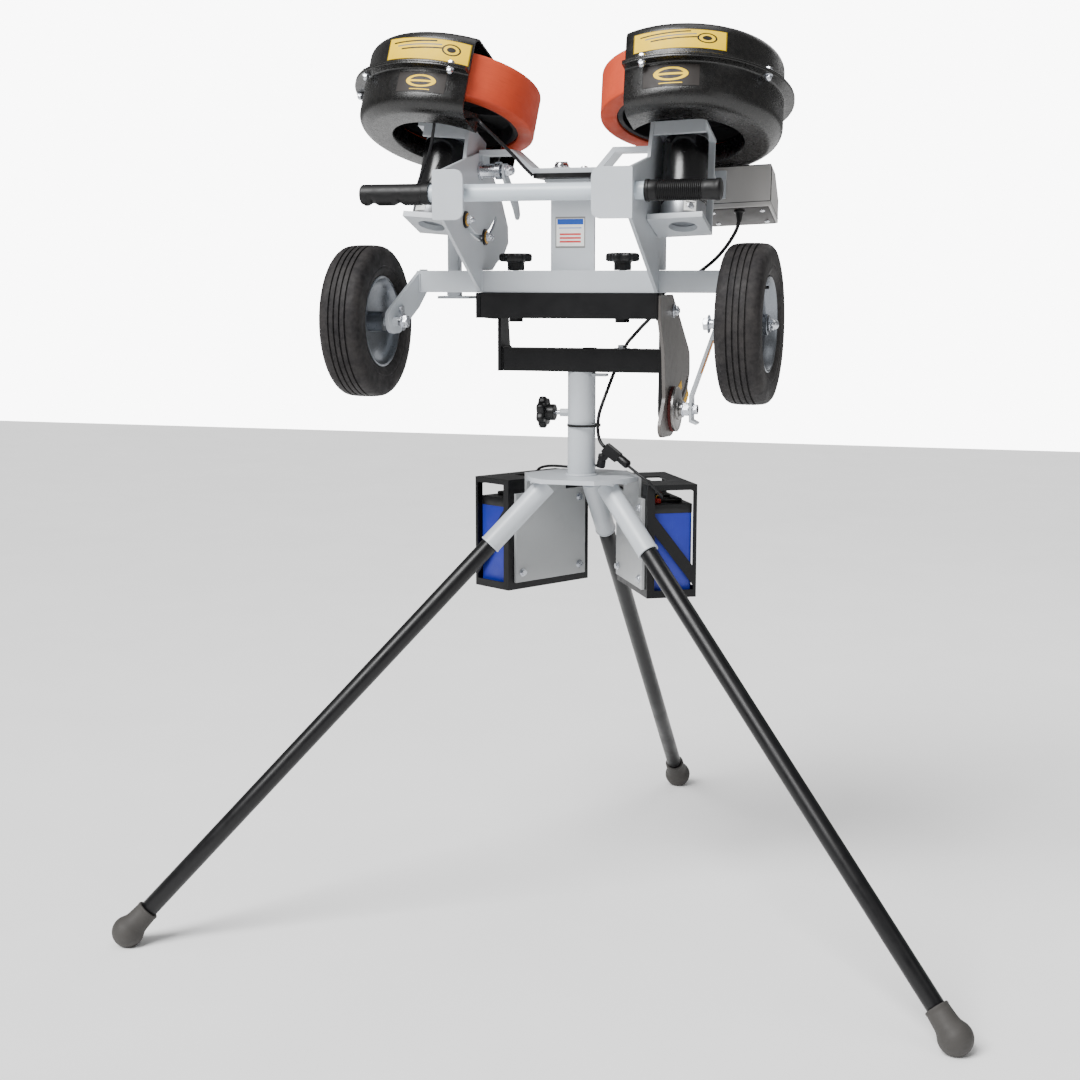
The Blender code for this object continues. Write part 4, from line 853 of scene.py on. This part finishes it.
# ---- the yoke ----------------------------------------------------------------------------------------
def make_yoke():
    refined("yoke", "black_paint", edge=0.8)
    beads = []
    for x in (-143.6, 149.2):
        beads.append(bead([(x, -25.6, 1016.6), (x, -25.6, 1057.0)], 2.2))
        beads.append(bead([(x, 25.6, 1016.6), (x, 25.6, 1057.0)], 2.2))
        beads.append(bead([(x, -25, 1057.9), (x, 25, 1057.9)], 2.2))
    beads.append(bead_ring(23.4, Matrix.Translation((0, 0, 1015.9)), 1.8))
    make("yoke_welds", beads, "weld_black", "yoke")
    make("yoke_top_bolt", hex_head(8.0, 5.6, 15.0), "zinc", "yoke", Matrix.Translation((75, 0, 1057.3)))
    for x, r, name in ((15, 13.0, "ring"), (99, 5.0, "plug")):
        make(f"yoke_top_{name}", [turned([(r, 0), (r, 1.0), (r - 1.2, 1.8), (r - 2.6, 1.2), (r - 3.0, 0.2)],
                                         56,
                                         hollow=True)], "black_plastic", "yoke",
                                         Matrix.Translation((x, 0, 1057.3)))
    for sign, side in ((-1, "left"), (1, "right")):
        inner = 143.7 if sign < 0 else 149.2
        outer = 164.7 if sign < 0 else QUADRANT_FACE
        spot = axes((0, *TILT), (0, 1, 0), (0, 0, 1), (1, 0, 0))
        flip = axes((0, *TILT), (0, 1, 0), (0, 0, -1), (-1, 0, 0))
        place = spot if sign > 0 else flip
        head = [moved(s, Matrix.Translation((0, 0, outer + 0.3))) for s in hex_head(9.6, 6.6, 12.5)]
        tip = [turned([(5.0, outer + 6), (5.0, outer + 10.2), (4.2, outer + 11)], 32)]
        nut = [moved(s, axes((0, 0, inner), (1, 0, 0), (0, -1, 0), (0, 0, -1))) for s in hex_head(9.6, 6.0,
                                                            12.0)]
        spacer = [turned([(5.1, inner), (5.1, outer)], 32)]
        if sign > 0:
            spacer.append(turned([(9.0, 156.3), (9.0, 164.7)], 40))
        make(f"pivot_bolt_{side}_set", head + tip + nut + spacer, "zinc", "yoke", place,
             (f"pivot_bolt_{side}",))
    spot = axes((0, *CLAMP), (0, 1, 0), (0, 0, 1), (1, 0, 0))
    face = QUADRANT_FACE + 0.3
    make("friction_lining", [turned([(39.4, face), (40, face + 0.6), (40, face + 4.4), (39.4, face + 5),
                                     (5.6, face + 5),
                                     (5.6, face)], 96, hollow=True)], "friction", "yoke", spot,
                                     ("friction_disc",))
    plate = face + 5.3
    make("pressure_disc", [turned([(39.2, plate), (40, plate + 0.8), (40, plate + 4.0), (38.8, plate + 5),
                                   (22, plate + 5), (19.6, plate + 5.6), (19, plate + 8.4), (17.6, plate + 9),
                                   (12, plate + 9.2), (12, plate + 14), (5.6, plate + 14), (5.6, plate)], 96,
                                  hollow=True)], "steel", "yoke", spot, ("pressure_plate",))
    make("clamp_nut", [moved(s, Matrix.Translation((0, 0, plate + 13.6)))
                       for s in hex_head(13.0, LEVER_X - plate - 15.4, 15.0)], "zinc", "yoke", spot)
    make("clamp_end_nut", [moved(s, Matrix.Translation((0, 0, LEVER_X + 5.3)))
                           for s in hex_head(9.6, 7.0, 11.5, thick=1.2)], "zinc", "yoke", spot)
    refined("tilt_lever", "grey_paint", edge=0.9)
    strip = Vector((46.0, 0, 132.0)).normalized()
    out = Vector((strip.z, 0, -strip.x))
    centre = Vector((LEVER_X + 5.0, CLAMP[0], 976.0)) + strip * 74
    lever = axes(centre + out * 0.4, strip, out.cross(strip), out)
    sticker("tilt_lever_label", "lever_label", "tilt_lever", on_plane(lever, 62, 15))


# ---- the elevating head --------------------------------------------------------------------------------
def make_head_frame():
    for node in ("axle_tube", "side_plate_left", "side_plate_right", "cross_bracket", "centre_support"):
        refined(node, "grey_paint", edge=0.8)
    refined("upper_bar", "black_paint", edge=0.8)
    refined("quadrant_plate", "quadrant_paint", edge=0.6)
    refined("ball_tray", "black_plastic", edge=0.8)
    refined("cant_lever", "grey_paint", edge=0.9)
    y0, y1 = BAR_Y - 22.6, BAR_Y + 22.6
    beads = [bead([(164.4, y, 1113.6), (164.4, y, 1157)], 2.3) for y in (y0, y1)]
    beads += [bead([(-158, y0, 1113.6), (-158, y0, 1157)], 2.3),
              bead([(164.4, y0, 1112.6), (164.4, y1, 1112.6)], 2.3)]
    make("bar_welds", beads, "weld_black", "head")
    grey = []
    for sign in (-1, 1):
        x = sign * 271.6
        grey.append(bead([(x, BAR_Y - 19.4, 1158.4), (x, BAR_Y - 19.4, 1190)], 2.0))
        grey.append(bead([(x, BAR_Y - 16, 1196.3), (x, BAR_Y + 17, 1196.3)], 2.0))
    grey += [bead([(x, -104.6, 1198), (x, -104.6, 1158.6)], 1.8) for x in (-153.6, 159.6)]
    grey += [bead([(x, -293.6, 1280), (x, -293.6, 1356)], 2.2) for x in (-153.4, 159.4)]
    grey += [bead([(-153.4, y, 1403.4), (-153.4, y - 0.1, 1376)], 1.6) for y in (-112, -74)]
    grey += [bead([(-232.6, -64.8, 1152), (-232.6, -64.8, 1194)], 1.8),
             bead([(-211.4, -64.8, 1152), (-211.4, -64.8, 1194)], 1.8)]
    make("head_welds", grey, "weld_paint", "head")
    make_handle()
    make_head_fasteners()
    make_scale_labels()
    sticker("support_label", "plate_label", "head",
            on_plane(axes((-4, -62.5, 1262), (1, 0, 0), (0, 0, 1), (0, -1, 0)), 54, 54))


def make_handle():
    """The handle tube and its two sleeves: finger grooves on the left, fine ribs on the right."""
    y, z = HANDLE
    place, length = along((-306, y, z), (300, y, z))
    make("handle_bar", [turned([(HANDLE_R - 0.6, 0),
                                (HANDLE_R, 0.6)] + [(HANDLE_R, length * k / 8) for k in range(1, 8)]
                               + [(HANDLE_R, length - 0.6), (HANDLE_R - 0.6, length)], 96)],
         "ear_paint", "head", place, ("handle_tube",))
    outer = 17.2
    place = axes((-310, y, z), (0, 0, -1), (0, 1, 0), (1, 0, 0))
    grip_length, rings = 124, []
    for s in range(grip_length + 1):
        end = min(1.0, math.sqrt(max(0.0, 1 - (1 - min(s, 4.0) / 4.0) ** 2)))
        groove = 4.2 * max(0.0, math.sin(math.pi * (s - 10) / 23.5)) ** 2 if 10 < s < 104 else 0.0
        collar = 1.6 if s > 112 else 0.0

        def reach(t, s=s, groove=groove, end=end, collar=collar):
            under = max(0.0, math.cos(t)) ** 1.2
            return (2.6 - groove) * under * (1 if 6 < s < 108 else 0.2) + collar - (1 - end) * 4.0
        rings.append(ring(outer - 0.6, s, 72, reach))
    rings.append(ring(outer - 1.0, grip_length, 72))
    rings.append(ring(HANDLE_R + 0.3, grip_length, 72))
    make("grip_left_sleeve", [stack(rings)], "grip", "head", place, ("grip_left",), sharp=50)
    place = axes((306, y, z), (0, 0, 1), (0, 1, 0), (-1, 0, 0))
    profile = [(1.0, 0), (outer - 3, 0.2), (outer, 1.6), (outer + 0.6, 3.5), (outer + 0.6, 8),
               (outer - 0.4, 10)]
    s = 10.0
    while s < 28:
        s += 6
        profile.append((outer - 0.5, s))
    ribs_from, ribs_to, pitch = 30.0, 104.0, 3.2
    count = int((ribs_to - ribs_from) / pitch)
    for k in range(count):
        at = ribs_from + k * pitch
        profile += [(outer - 1.6, at), (outer - 1.6, at + 0.8), (outer - 0.2, at + 1.4),
                    (outer + 0.2, at + 2.2),
                    (outer - 0.2, at + 2.9)]
    profile += [(outer - 1.2, ribs_to + 0.4), (outer - 0.4, ribs_to + 1.6), (outer - 0.4, 117),
                (outer + 1.0, 118), (outer + 1.0, 123), (outer, 124),
                (HANDLE_R + 0.3, 124)]
    make("grip_right_sleeve", [turned(profile, 96)], "grip", "head", place, ("grip_right",), sharp=50)


def make_head_fasteners():
    """Bolts, washers and spacers on the side plates, axle and cross bracket."""
    inward = ((0, 1, 0), (0, 0, 1), (1, 0, 0))
    for index, (y, z) in enumerate(((-187, 1281.5), (-88, 1254.1))):
        spot = axes((SIDE_LEFT[1], y, z), *inward)
        make(f"slot_disc_{index}", [turned([(14.5, 0.3), (14.5, 2.6), (13.6, 3.2), (8.0, 3.2), (8.0, 0.3)],
                                           56,
                                           hollow=True)], "black_plastic", "left_unit", spot)
        make(f"slot_washer_{index}", [turned([(11.0, 3.3), (11.0, 4.6), (10.2, 5.0), (6.0, 5.0),
                                              (6.0, 3.3)], 56,
                                             hollow=True)], "brass", "left_unit", spot)
        make(f"slot_bolt_{index}", [moved(s, Matrix.Translation((0, 0, 5.1))) for s in
                                    hex_head(7.4, 5.2, 8.8, acorn=True)]
             + [turned([(5.2, -6.4), (5.2, 5.2)], 32)], "zinc", "left_unit", spot)
    for sign, side in ((-1, "left"), (1, "right")):
        knob = ((0, -1, 0), (0, 0, 1), (-1, 0, 0)) if sign < 0 else inward
        tip = axes((sign * 279.2, -166, 1128), *knob)
        make(f"bracket_bolt_{side}", hex_head(6.0, 4.4, 8.2), "zinc", "head", tip)
        inside = axes((sign * 271.8, -185, 1108), (0, sign, 0), (0, 0, 1), (-sign, 0, 0))
        make(f"axle_nut_{side}", hex_head(11.5, 8.0, 15.5), "zinc", "head", inside)
        make(f"axle_core_{side}", [turned([(7.9, -7), (7.9, 9.4), (6.9, 10.4), (2, 10.6)], 40)], "zinc",
             "head", inside)
        end = axes((sign * (HUB_X + 31.5), *HUB), (0, sign, 0), (0, 0, 1), (sign, 0, 0))
        make(f"hub_nut_{side}", [turned([(12.5, 0), (12.5, 1.6)], 48)] + [moved(s,
                                                            Matrix.Translation((0, 0, 1.6)))
             for s in hex_head(10.5, 6.2, acorn=True)], "zinc", "head", end)
    shaft = axes((0, *CANT), *inward)
    x1 = SIDE_LEFT[1]
    make("cant_shaft_set", [turned([(8.0, x1 - 11), (8.0, x1 + 0.3), (15.5, x1 + 0.4), (15.5, x1 + 3.2),
                                    (12.8, x1 + 3.4),
                                    (12.0, x1 + 4.6), (12.0, x1 + 30), (15.0, x1 + 30.2), (15.0, x1 + 39.4),
                                    (6.0, x1 + 40), (6.0, x1 + 54)], 72)]
         + [moved(s, Matrix.Translation((0, 0, x1 + 48.2))) for s in hex_head(10.2, 6.4, 12.0, acorn=True)],
         "zinc", "head", shaft, ("cant_shaft",))
    crown = axes((-12, -89, 1370.1), (1, 0, 0), (0, 1, 0), (0, 0, 1))
    make("bracket_screw", [turned([(15.5, 0), (16.2, 0.6), (16.2, 1.6), (15.0, 2.2), (12.8, 2.2), (12.6, 5.4),
                                   (11.4, 8.6), (7.4, 10.6), (1.0, 11.2)], 72),
                           block((-10.4, -1.1, 8.6), (10.4, 1.1, 11.6))], "chrome", "head", crown)
    make("bracket_screw_b", [turned([(8.2, 0), (8.2, 1.4), (6.4, 1.5), (5.6, 3.6), (2.0, 4.6)], 48)],
         "chrome", "head",
         crown @ Matrix.Translation((38, 10, 0)))
    make("right_plate_bolt", hex_head(7.0, 5.0, 9.6), "zinc", "head",
         axes((SIDE_RIGHT[1], -84, 1262), *inward))
    knob = axes((SIDE_RIGHT[0], -84, 1262), (0, -1, 0), (0, 0, 1), (-1, 0, 0))
    make("right_plate_nut", hex_head(7.0, 5.0, 9.6), "zinc", "head", knob)


def make_scale_labels():
    """Two plain angle scales along the quadrant's slot."""
    reach = math.hypot(CLAMP[0] - TILT[0], CLAMP[1] - TILT[1])
    face = QUADRANT_FACE

    def along_slot(first, last, inner, outer):
        def surface(u, v):
            angle = math.radians(first + (last - first) * u)
            r = inner + (outer - inner) * v
            return (face, TILT[0] + r * math.cos(angle), TILT[1] + r * math.sin(angle)), (1, 0, 0)
        return surface
    sticker("quadrant_scale_lower", "scale_label", "head", along_slot(-96, -50, reach + 13, reach + 31), 48)
    sticker("quadrant_scale_upper", "scale_label", "head", along_slot(-92, -62, reach - 31, reach - 15), 48)


def make_knobs():
    """Fluted clamping knobs, on the post and on the axle."""
    spots = {"post_knob": (axes((-50, 0, 941), (0, 1, 0), (0, 0, -1), (-1, 0, 0)), 27.0, 4.3)}
    for sign, side in ((-1, "left"), (1, "right")):
        spots[f"axle_knob_{side}"] = (Matrix.Translation((sign * 97, BAR_Y, AXLE_TOP + 0.3)), 89.0, 5.1)
    for name, (place, stud, radius) in spots.items():
        head, bar = fluted_knob(stud, radius)
        make(f"{name}_head", head, "black_plastic", name, place, (name,))
        make(f"{name}_stud", bar, "zinc", name, place)


# ---- transport wheels ----------------------------------------------------------------------------------
def make_transport_wheels():
    grooves = (-15.0, -5.0, 5.0, 15.0)

    def crown(z):
        return TYRE_R - 1.6 * (abs(z) / 26) ** 3

    tread = []
    for z in sorted(set([-26.0, 26.0] + [g + d for g in grooves for d in (-1.6, -1.0, 1.0, 1.6)]
                        + [-22.0, -12.0, 0.0, 12.0, 22.0])):
        deep = any(abs(z - g) < 1.2 for g in grooves)
        tread.append((crown(z) - (3.2 if deep else 0.0), z))
    shoulder = [(129.2, 29.2), (127.0, 32.4), (123.4, 35.4), (118.0, 37.0), (110.0, 37.4), (102.0, 37.4),
                (96.6, 36.8),
                (95.6, 36.0), (94.4, 36.4), (90.0, 35.4), (84.0, 32.8), (80.2, 30.6), (78.4, 28.6),
                (77.8, 26.6)]
    profile = tread + shoulder + [(r, -z) for r, z in reversed(shoulder)]
    bead_edge = [(77.4, 27.6), (78.8, 29.4), (78.6, 31.0), (76.8, 31.8), (74.6, 31.0), (72.6, 28.0),
                 (70.6, 21.0),
                 (67.0, 14.0), (62.0, 11.0), (52.0, 10.2), (46.0, 11.6), (34.0, 13.8), (24.0, 12.0),
                 (17.0, 11.6)]
    back = [(17.0, -6.0), (24.0, -6.4), (34.0, -7.6), (46.0, -9.6), (54.0, -12.0), (62.0, -15.6),
            (67.0, -19.0),
            (70.6, -23.0), (72.6, -27.0), (74.6, -30.6), (76.8, -31.6), (78.6, -31.0), (78.8, -29.4),
            (77.4, -27.6)]
    for sign, side in ((-1, "left"), (1, "right")):
        body = f"transport_wheel_{side}"
        place = axes((sign * HUB_X, *HUB), (0, sign, 0), (0, 0, 1), (sign, 0, 0))
        make(f"tyre_{side}_tread", [turned(profile, 160, hollow=True)], "tyre", body, place,
             (f"tyre_{side}",), sharp=32)
        hub = [(17.0, -34), (17.0, -33), (17.4, -6), (17.4, 11), (17.0, 29), (16.2, 30), (8.4, 30),
               (8.4, -34)]
        make(f"rim_{side}_dish", [turned(bead_edge + back, 128, hollow=True), turned(hub, 72, hollow=True)],
             "rim", body,
             place, (f"rim_{side}",), sharp=30)
        stem = [turned([(3.4, 13), (3.4, 21), (2.6, 22), (2.6, 29), (2.1, 29.6)], 24)]
        make(f"rim_{side}_stem", [moved(s, Matrix.Translation((0, 60, 0))) for s in stem], "black_plastic",
             body, place)


# ---- throwing units --------------------------------------------------------------------------------------
def guard_profiles():
    """Outer and inner skins of the lower and upper guard shells, as (radius, height)."""
    wall, r = GUARD_WALL, GUARD_R
    lower = [(FLANGE_R - 0.6, -4.2), (FLANGE_R, -4.8), (FLANGE_R, -6.8), (FLANGE_R - 0.6, -7.4),
             (r + 3, -7.4),
             (r + 0.9, -8.3), (r, -10.4), (r, -30)]
    lower += [(r - 26 + x, -52 - y) for x, y in arc((0, 0), 26, 0, 90, 12)]
    lower += [(118, -78.2), (103, -78), (98, -77.4), (96.8, -75.5), (97, -46), (98.5, -44), (100.5, -46),
              (100.5, -74.5), (110, -74.5)]
    lower += [(r - 26 + x, -52 - y) for x, y in arc((0, 0), 26 - wall, 90, 0, 10)]
    lower += [(r - wall, -30), (r - wall, -4.2)]
    upper = [(FLANGE_R - 0.6, -3.9), (r - wall, -3.9), (r - wall, 20)]
    upper += [(r - 20 + x, 44 + y) for x, y in arc((0, 0), 20 - wall, 0, 90, 10)]
    upper += [(110, 64 - wall), (76, 64 - wall), (36, 64 - wall), (34, 64 - wall + 0.8), (34, 63.2),
              (35, 64), (76, 64),
              (110, 64)]
    upper += [(r - 20 + x, 44 + y) for x, y in arc((0, 0), 20, 90, 0, 12)]
    upper += [(r, 20), (r, 2.3), (r + 0.9, 0.2), (r + 3, -0.7), (FLANGE_R - 0.6, -0.7), (FLANGE_R, -1.3),
              (FLANGE_R, -3.3)]
    return {"lower": lower, "upper": upper}


FLANGE_BOLTS = {"left": (192.0, -73.0, 120.0, 225.0), "right": (-104.0, -29.0, 60.0, 170.0)}


def make_units():
    for side, inner in (("left", 1), ("right", -1)):
        body = "left_unit" if side == "left" else "head"
        place, spin = UNIT[side], f"throw_wheel_{side}"
        make_throwing_wheel(side, spin, place)
        for level, profile in guard_profiles().items():
            make(f"guard_{level}_{side}_shell", [turned(profile, 192, hollow=True)], "guard", body, place,
                 (f"guard_{level}_{side}",), sharp=44, clip=((inner * GUARD_CUT, 0, 0), (inner, 0, 0)))
        bolts = []
        for angle in FLANGE_BOLTS[side]:
            t = math.radians(angle)
            if inner * 170 * math.cos(t) > GUARD_CUT - 8:
                continue
            out = Matrix.Translation((170 * math.cos(t), 170 * math.sin(t), 0))
            bolts += [moved(s, out @ axes((0, 0, -7.4), (1, 0, 0), (0, -1, 0), (0, 0, -1)))
                      for s in hex_head(6.2, 4.6, 7.6, acorn=True)]
            bolts += [moved(s, out @ Matrix.Translation((0, 0, -0.7))) for s in hex_head(6.2, 4.0, 7.6)]
        make(f"guard_bolts_{side}", bolts, "zinc", body, place)
        refined(f"motor_bracket_{side}", "grey_paint", edge=0.8)
        make_motor(side, body, place)
        make_guard_labels(side, body, place)
    make_unit_wiring()


def make_throwing_wheel(side, body, place):
    r, half = WHEEL_R, WHEEL_HALF
    tread = [(r - 3.5, -half), (r - 1.6, -half + 0.6), (r - 0.4, -half + 1.8), (r, -half + 3.6)]
    tread += [(r, -half + 3.6 + (2 * half - 7.2) * k / 8) for k in range(1, 8)]
    tread += [(rr, -z) for rr, z in reversed(tread[:4])]
    profile = tread + [(121, half), (118.2, half - 1.4), (118, half - 3), (118, -half + 3),
                       (118.2, -half + 1.4),
                       (121, -half)]
    make(f"throw_tread_{side}", [turned(profile, 192, hollow=True)], "urethane", body, place,
         (f"throw_tyre_{side}",))
    rim = [(117.7, -33), (117.7, 33), (116.8, 34), (109.5, 34), (108.4, 33.2), (104.6, 8), (102, 6),
           (34, 6), (30.6, 8),
           (30, 24.6), (28.6, 26), (7.3, 26), (7.3, -26), (28.6, -26), (30, -24.6), (30.6, -8), (34, -6),
           (102, -6),
           (104.6, -8), (108.4, -33.2), (109.5, -34), (116.8, -34)]
    shapes = [turned(rim, 160, hollow=True)]
    for k in range(6):
        spin = Matrix.Rotation(k * math.pi / 3, 4, "Z")
        for low, high in ((5.5, 19), (-19, -5.5)):
            shapes.append(moved(prism([(28, -3.2), (106, -2.6), (106, 2.6), (28, 3.2)], low, high), spin))
    make(f"throw_wheel_{side}_hub", shapes, "hub_plastic", body, place, (f"throw_hub_{side}",), edge=0.5)
    make(f"throw_wheel_{side}_screws", [moved(s, Matrix.Rotation(k * 2.0944 + 0.5, 4, "Z")
         @ Matrix.Translation((20, 0, 26))) for k in range(3) for s in hex_head(4.2, 3.0)], "zinc", body,
         place)


def make_motor(side, body, place):
    """Gloss black can between a cast front and a silver end, with its through bolts."""
    r = MOTOR_R
    can = [(r - 1.6, -188), (r - 0.4, -187.4), (r, -186.4), (r, -150), (r, -110), (r, -78),
           (r - 0.6, -76.6), (r - 1.6, -76)]
    make(f"motor_{side}_can", [turned(can, 128)], "motor_paint", body, place, (f"motor_{side}",))
    end = [(20, -216), (r - 3, -216), (r - 1.2, -215.2), (r - 0.6, -213.6), (r - 0.6, -190.4),
           (r - 1.4, -189.4),
           (r - 2.6, -188)]
    front = [(r - 1.8, -76), (r - 0.6, -75.4), (r - 0.6, -65), (r - 1.2, -63.6), (16, -63.5), (16, -56.2),
             (7.0, -56),
             (6.9, 32)]
    make(f"motor_{side}_ends", [turned(end, 128), turned(front, 96)], "silver", body, place)
    bolts = []
    for k in range(4):
        t = math.pi / 4 + k * math.pi / 2
        spot = Matrix.Translation(((r - 6) * math.cos(t), (r - 6) * math.sin(t), -216))
        bolts += [moved(s, spot @ axes((0, 0, 0), (1, 0, 0), (0, -1, 0), (0, 0, -1))) for s in hex_head(3.6,
                                                            0.3)]
    for k in range(2):
        t = math.radians(-60 + 180 * k)
        spot = axes(((r - 0.7) * math.cos(t), (r - 0.7) * math.sin(t), -202),
                    (-math.sin(t), math.cos(t), 0), (0, 0, 1),
                    (math.cos(t), math.sin(t), 0))
        bolts.append(moved(turned([(5.4, 0), (5.4, 1.0), (4.6, 1.6), (2, 1.7)], 32), spot))
    make(f"motor_{side}_screws", bolts, "zinc", body, place)
    angle = {"left": (-128, -92), "right": (-78, -44)}[side]
    sticker(f"motor_{side}_label", "motor_label", body, on_drum(place, r - 0.55, *angle, -212, -192))


def make_guard_labels(side, body, place):
    yellow = {"left": (-119, -63, 8, 46, -5.0), "right": (-112, -56, 14, 46, 0.0)}[side]
    dark = {"left": (-106, -74, -50, -14), "right": (-105, -71, -50, -12)}[side]
    sticker(f"guard_notice_{side}", "yellow_label", body, on_drum(place, GUARD_R + 0.02, *yellow), 48)
    sticker(f"guard_plate_{side}", "dark_label", body, on_drum(place, GUARD_R + 0.02, *dark), 32)


def make_unit_wiring():
    """A short motor lead, from the left guard to its motor."""
    left = UNIT["left"]
    drop = [left @ Vector(p) for p in ((9, -92, -76), (8, -88, -88), (2, -73, -112), (-8, -60, -138),
                                       (-18, -49, -165), (-24, -39, -190), (-26, -34, -200))]
    make("motor_lead_left", [tube(smooth_points(drop, 4.0), 2.6, 16)], "cable", "left_unit")


def make_cant_drop():
    """The lead that crosses from the canting unit to the tray."""
    left = UNIT["left"]
    top = [left @ Vector(p) for p in ((62, -92, -66), (86, -97, -67), (104, -97, -80))]
    route = top + [Vector(p) for p in ((-84, -150, 1394), (-66, -138, 1372), (-54, -124, 1357))]
    jacket = make("tray_lead", [tube(smooth_points(route, 4.0), 2.8, 16)], "cable", None)
    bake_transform(jacket)


def make_control_box():
    """The speed control housing with its seams, a thin dark plate under it as painted shade of its underside,
    dials and switch.
    """
    refined("control_box", "box_paint", edge=1.6)
    side_frame = UNIT["right"] @ axes((0, 0, 0), (0, 1, 0), (0, 0, 1), (1, 0, 0))
    (front, edge, back), (low, brow, high) = BOX_V, BOX_S
    u0, u1 = BOX_U
    seam = low + 8
    middle, half_u = (u0 + u1) / 2, (u1 - u0) / 2
    band = [(front - 0.25, seam), (back + 0.25, seam), (back + 0.25, seam + 1.1), (front - 0.25, seam + 1.1)]
    make("control_box_seam", [prism(band, u0 - 0.25, u1 + 0.25)], "black_plastic", "head", side_frame)
    base = UNIT["right"] @ Matrix.Translation((middle, (front + back) / 2, 0))
    # A thin dark plate under the box: painted shade for its underside.
    make("control_box_shade_plate", [pillow(half_u - 3, (back - front) / 2 - 3, 3.0, low - 1.2, low + 0.4, 0.5)],
         "box_underside_shade",
         "head", base)
    rims = [[(x, front - 0.2, high - 1.6) for x in (u0 + 2, u1 - 2)],
            [(u1 + 0.2, front + 1.6, z) for z in (seam + 2, high - 4)]]
    make("control_box_gasket", [bead(run, 0.8) for run in rims], "black_plastic", "head", UNIT["right"])
    screws = []
    for du in (-half_u + 16, half_u - 16):
        for dv in (-26, 26):
            spot = base @ axes((du, dv, low - 1.2), (1, 0, 0), (0, -1, 0), (0, 0, -1))
            screws.append(moved(turned([(4.6, 0), (4.4, 1.2), (3.0, 2.2), (0.8, 2.5)], 32), spot))
    make("control_box_screws", screws, "chrome", "head")
    slope = Vector((back - edge, brow - high)).normalized()
    normal = Vector((-slope.y, slope.x))
    centre = Vector(((edge + back) / 2, (high + brow) / 2))
    spots = [side_frame @ axes((*(centre + normal * 0.3), u), (0, 0, -1), (slope.x, slope.y, 0),
                               (normal.x, normal.y, 0))
             for u in (u0 + 30, u0 + 74, u0 + 104)]
    panel = side_frame @ axes((*(centre + normal * 0.02), middle), (0, 0, -1), (slope.x, slope.y, 0),
                              (normal.x, normal.y, 0))
    sticker("dial_panel", "dial_face", "head", on_plane(panel, 112, 44), thick=0.25)
    for name, place in zip(("speed_dial_left", "speed_dial_right"), spots):
        count = 120

        def knurl(t):
            return 0.35 * math.cos(40 * t)
        body = [ring(12.5, 0.1, count), ring(12.8, 0.6, count), ring(12.8, 3.0, count),
                ring(11.4, 4.4, count),
                ring(10.6, 5.2, count, knurl), ring(9.9, 14.0, count, knurl), ring(9.2, 16.0, count),
                ring(7.6, 17.0, count),
                ring(1.0, 17.1, count)]
        make(f"{name}_cap", [stack(body)], "black_plastic", name, place, (name,))
        make(f"{name}_line", [pillow(0.7, 4.4, 0.5, 16.6, 17.5, 0.2)], "plate_label", name,
             place @ Matrix.Translation((0, 4.6, 0)))
    make("power_switch_rocker", [moved(pillow(5.8, 8.3, 1.2, -3, 4.2, 1.0), Matrix.Identity(4))],
         "black_plastic",
         "power_switch", spots[2] @ Matrix.Rotation(math.radians(5), 4, "X"), ("power_switch",))
    gland = Vector(UPPER_LEAD[0])
    place, _ = along(gland + (gland - Vector(UPPER_LEAD[1])).normalized() * 3, Vector(UPPER_LEAD[1]))
    make("lead_gland", [turned([(9.5, -1), (9.5, 3.4), (8.0, 4.2), (6.6, 5.2), (5.2, 11), (4.0, 20),
                                (3.4, 21)], 48)],
         "black_plastic", "head", place)


# ---- room ---------------------------------------------------------------------------------------------
def make_stage():
    f = Finish("studio_floor")
    f.colour(f.mix(f.remap(f.noise(1.5, 3.0), 0.3, 0.7), (0.95, 0.95, 0.95, 1), (0.98, 0.98, 0.98, 1)))
    f.rough(f.remap(f.noise(6.0, 3.0), 0.3, 0.7, 0.75, 0.9))
    mesh = bpy.data.meshes.new("floor")
    mesh.from_pydata([(-9, -9, 0), (9, -9, 0), (9, 9, 0), (-9, 9, 0)], [], [(0, 1, 2, 3)])
    mesh.materials.append(f.material)
    floor = bpy.data.objects.new("floor", mesh)
    bpy.context.scene.collection.objects.link(floor)
    world = bpy.data.worlds.new("studio")
    bpy.context.scene.world = world
    world.use_nodes = True
    nodes, links = world.node_tree.nodes, world.node_tree.links
    ground = nodes["Background"]
    ground.inputs["Color"].default_value = (1.0, 1.0, 1.0, 1.0)
    path = nodes.new("ShaderNodeLightPath")
    level = nodes.new("ShaderNodeMapRange")
    level.inputs["To Min"].default_value, level.inputs["To Max"].default_value = 0.26, 9.0
    links.new(path.outputs["Is Camera Ray"], level.inputs["Value"])
    links.new(level.outputs["Result"], ground.inputs["Strength"])
    sun = bpy.data.lights.new("key_light", "SUN")
    sun.energy, sun.angle = 5.2, math.radians(32)
    key = bpy.data.objects.new("key_light", sun)
    key.rotation_euler = (math.radians(42), 0.0, math.radians(-24))
    bpy.context.scene.collection.objects.link(key)
    lights = {"front_light": ((-1.9, -3.4, 3.0), 1.5, 45), "fill_light": ((3.3, -2.4, 1.9), 1.6, 10),
              "top_light": ((0.2, -0.6, 4.4), 3.0, 50), "back_light": ((1.2, 3.2, 3.0), 1.8, 14)}
    for name, (spot, size, power) in lights.items():
        data = bpy.data.lights.new(name, "AREA")
        data.size, data.energy = size, power
        lamp = bpy.data.objects.new(name, data)
        bpy.context.scene.collection.objects.link(lamp)
        lamp.location = spot
        aim = Vector((0, -0.2, 1.1)) - Vector(spot)
        lamp.rotation_euler = aim.to_track_quat("-Z", "Y").to_euler()


make_camera()
make_leads()
make_stand()
make_yoke()
make_head_frame()
make_knobs()
make_transport_wheels()
make_units()
make_cant_drop()
make_control_box()
make_stage()
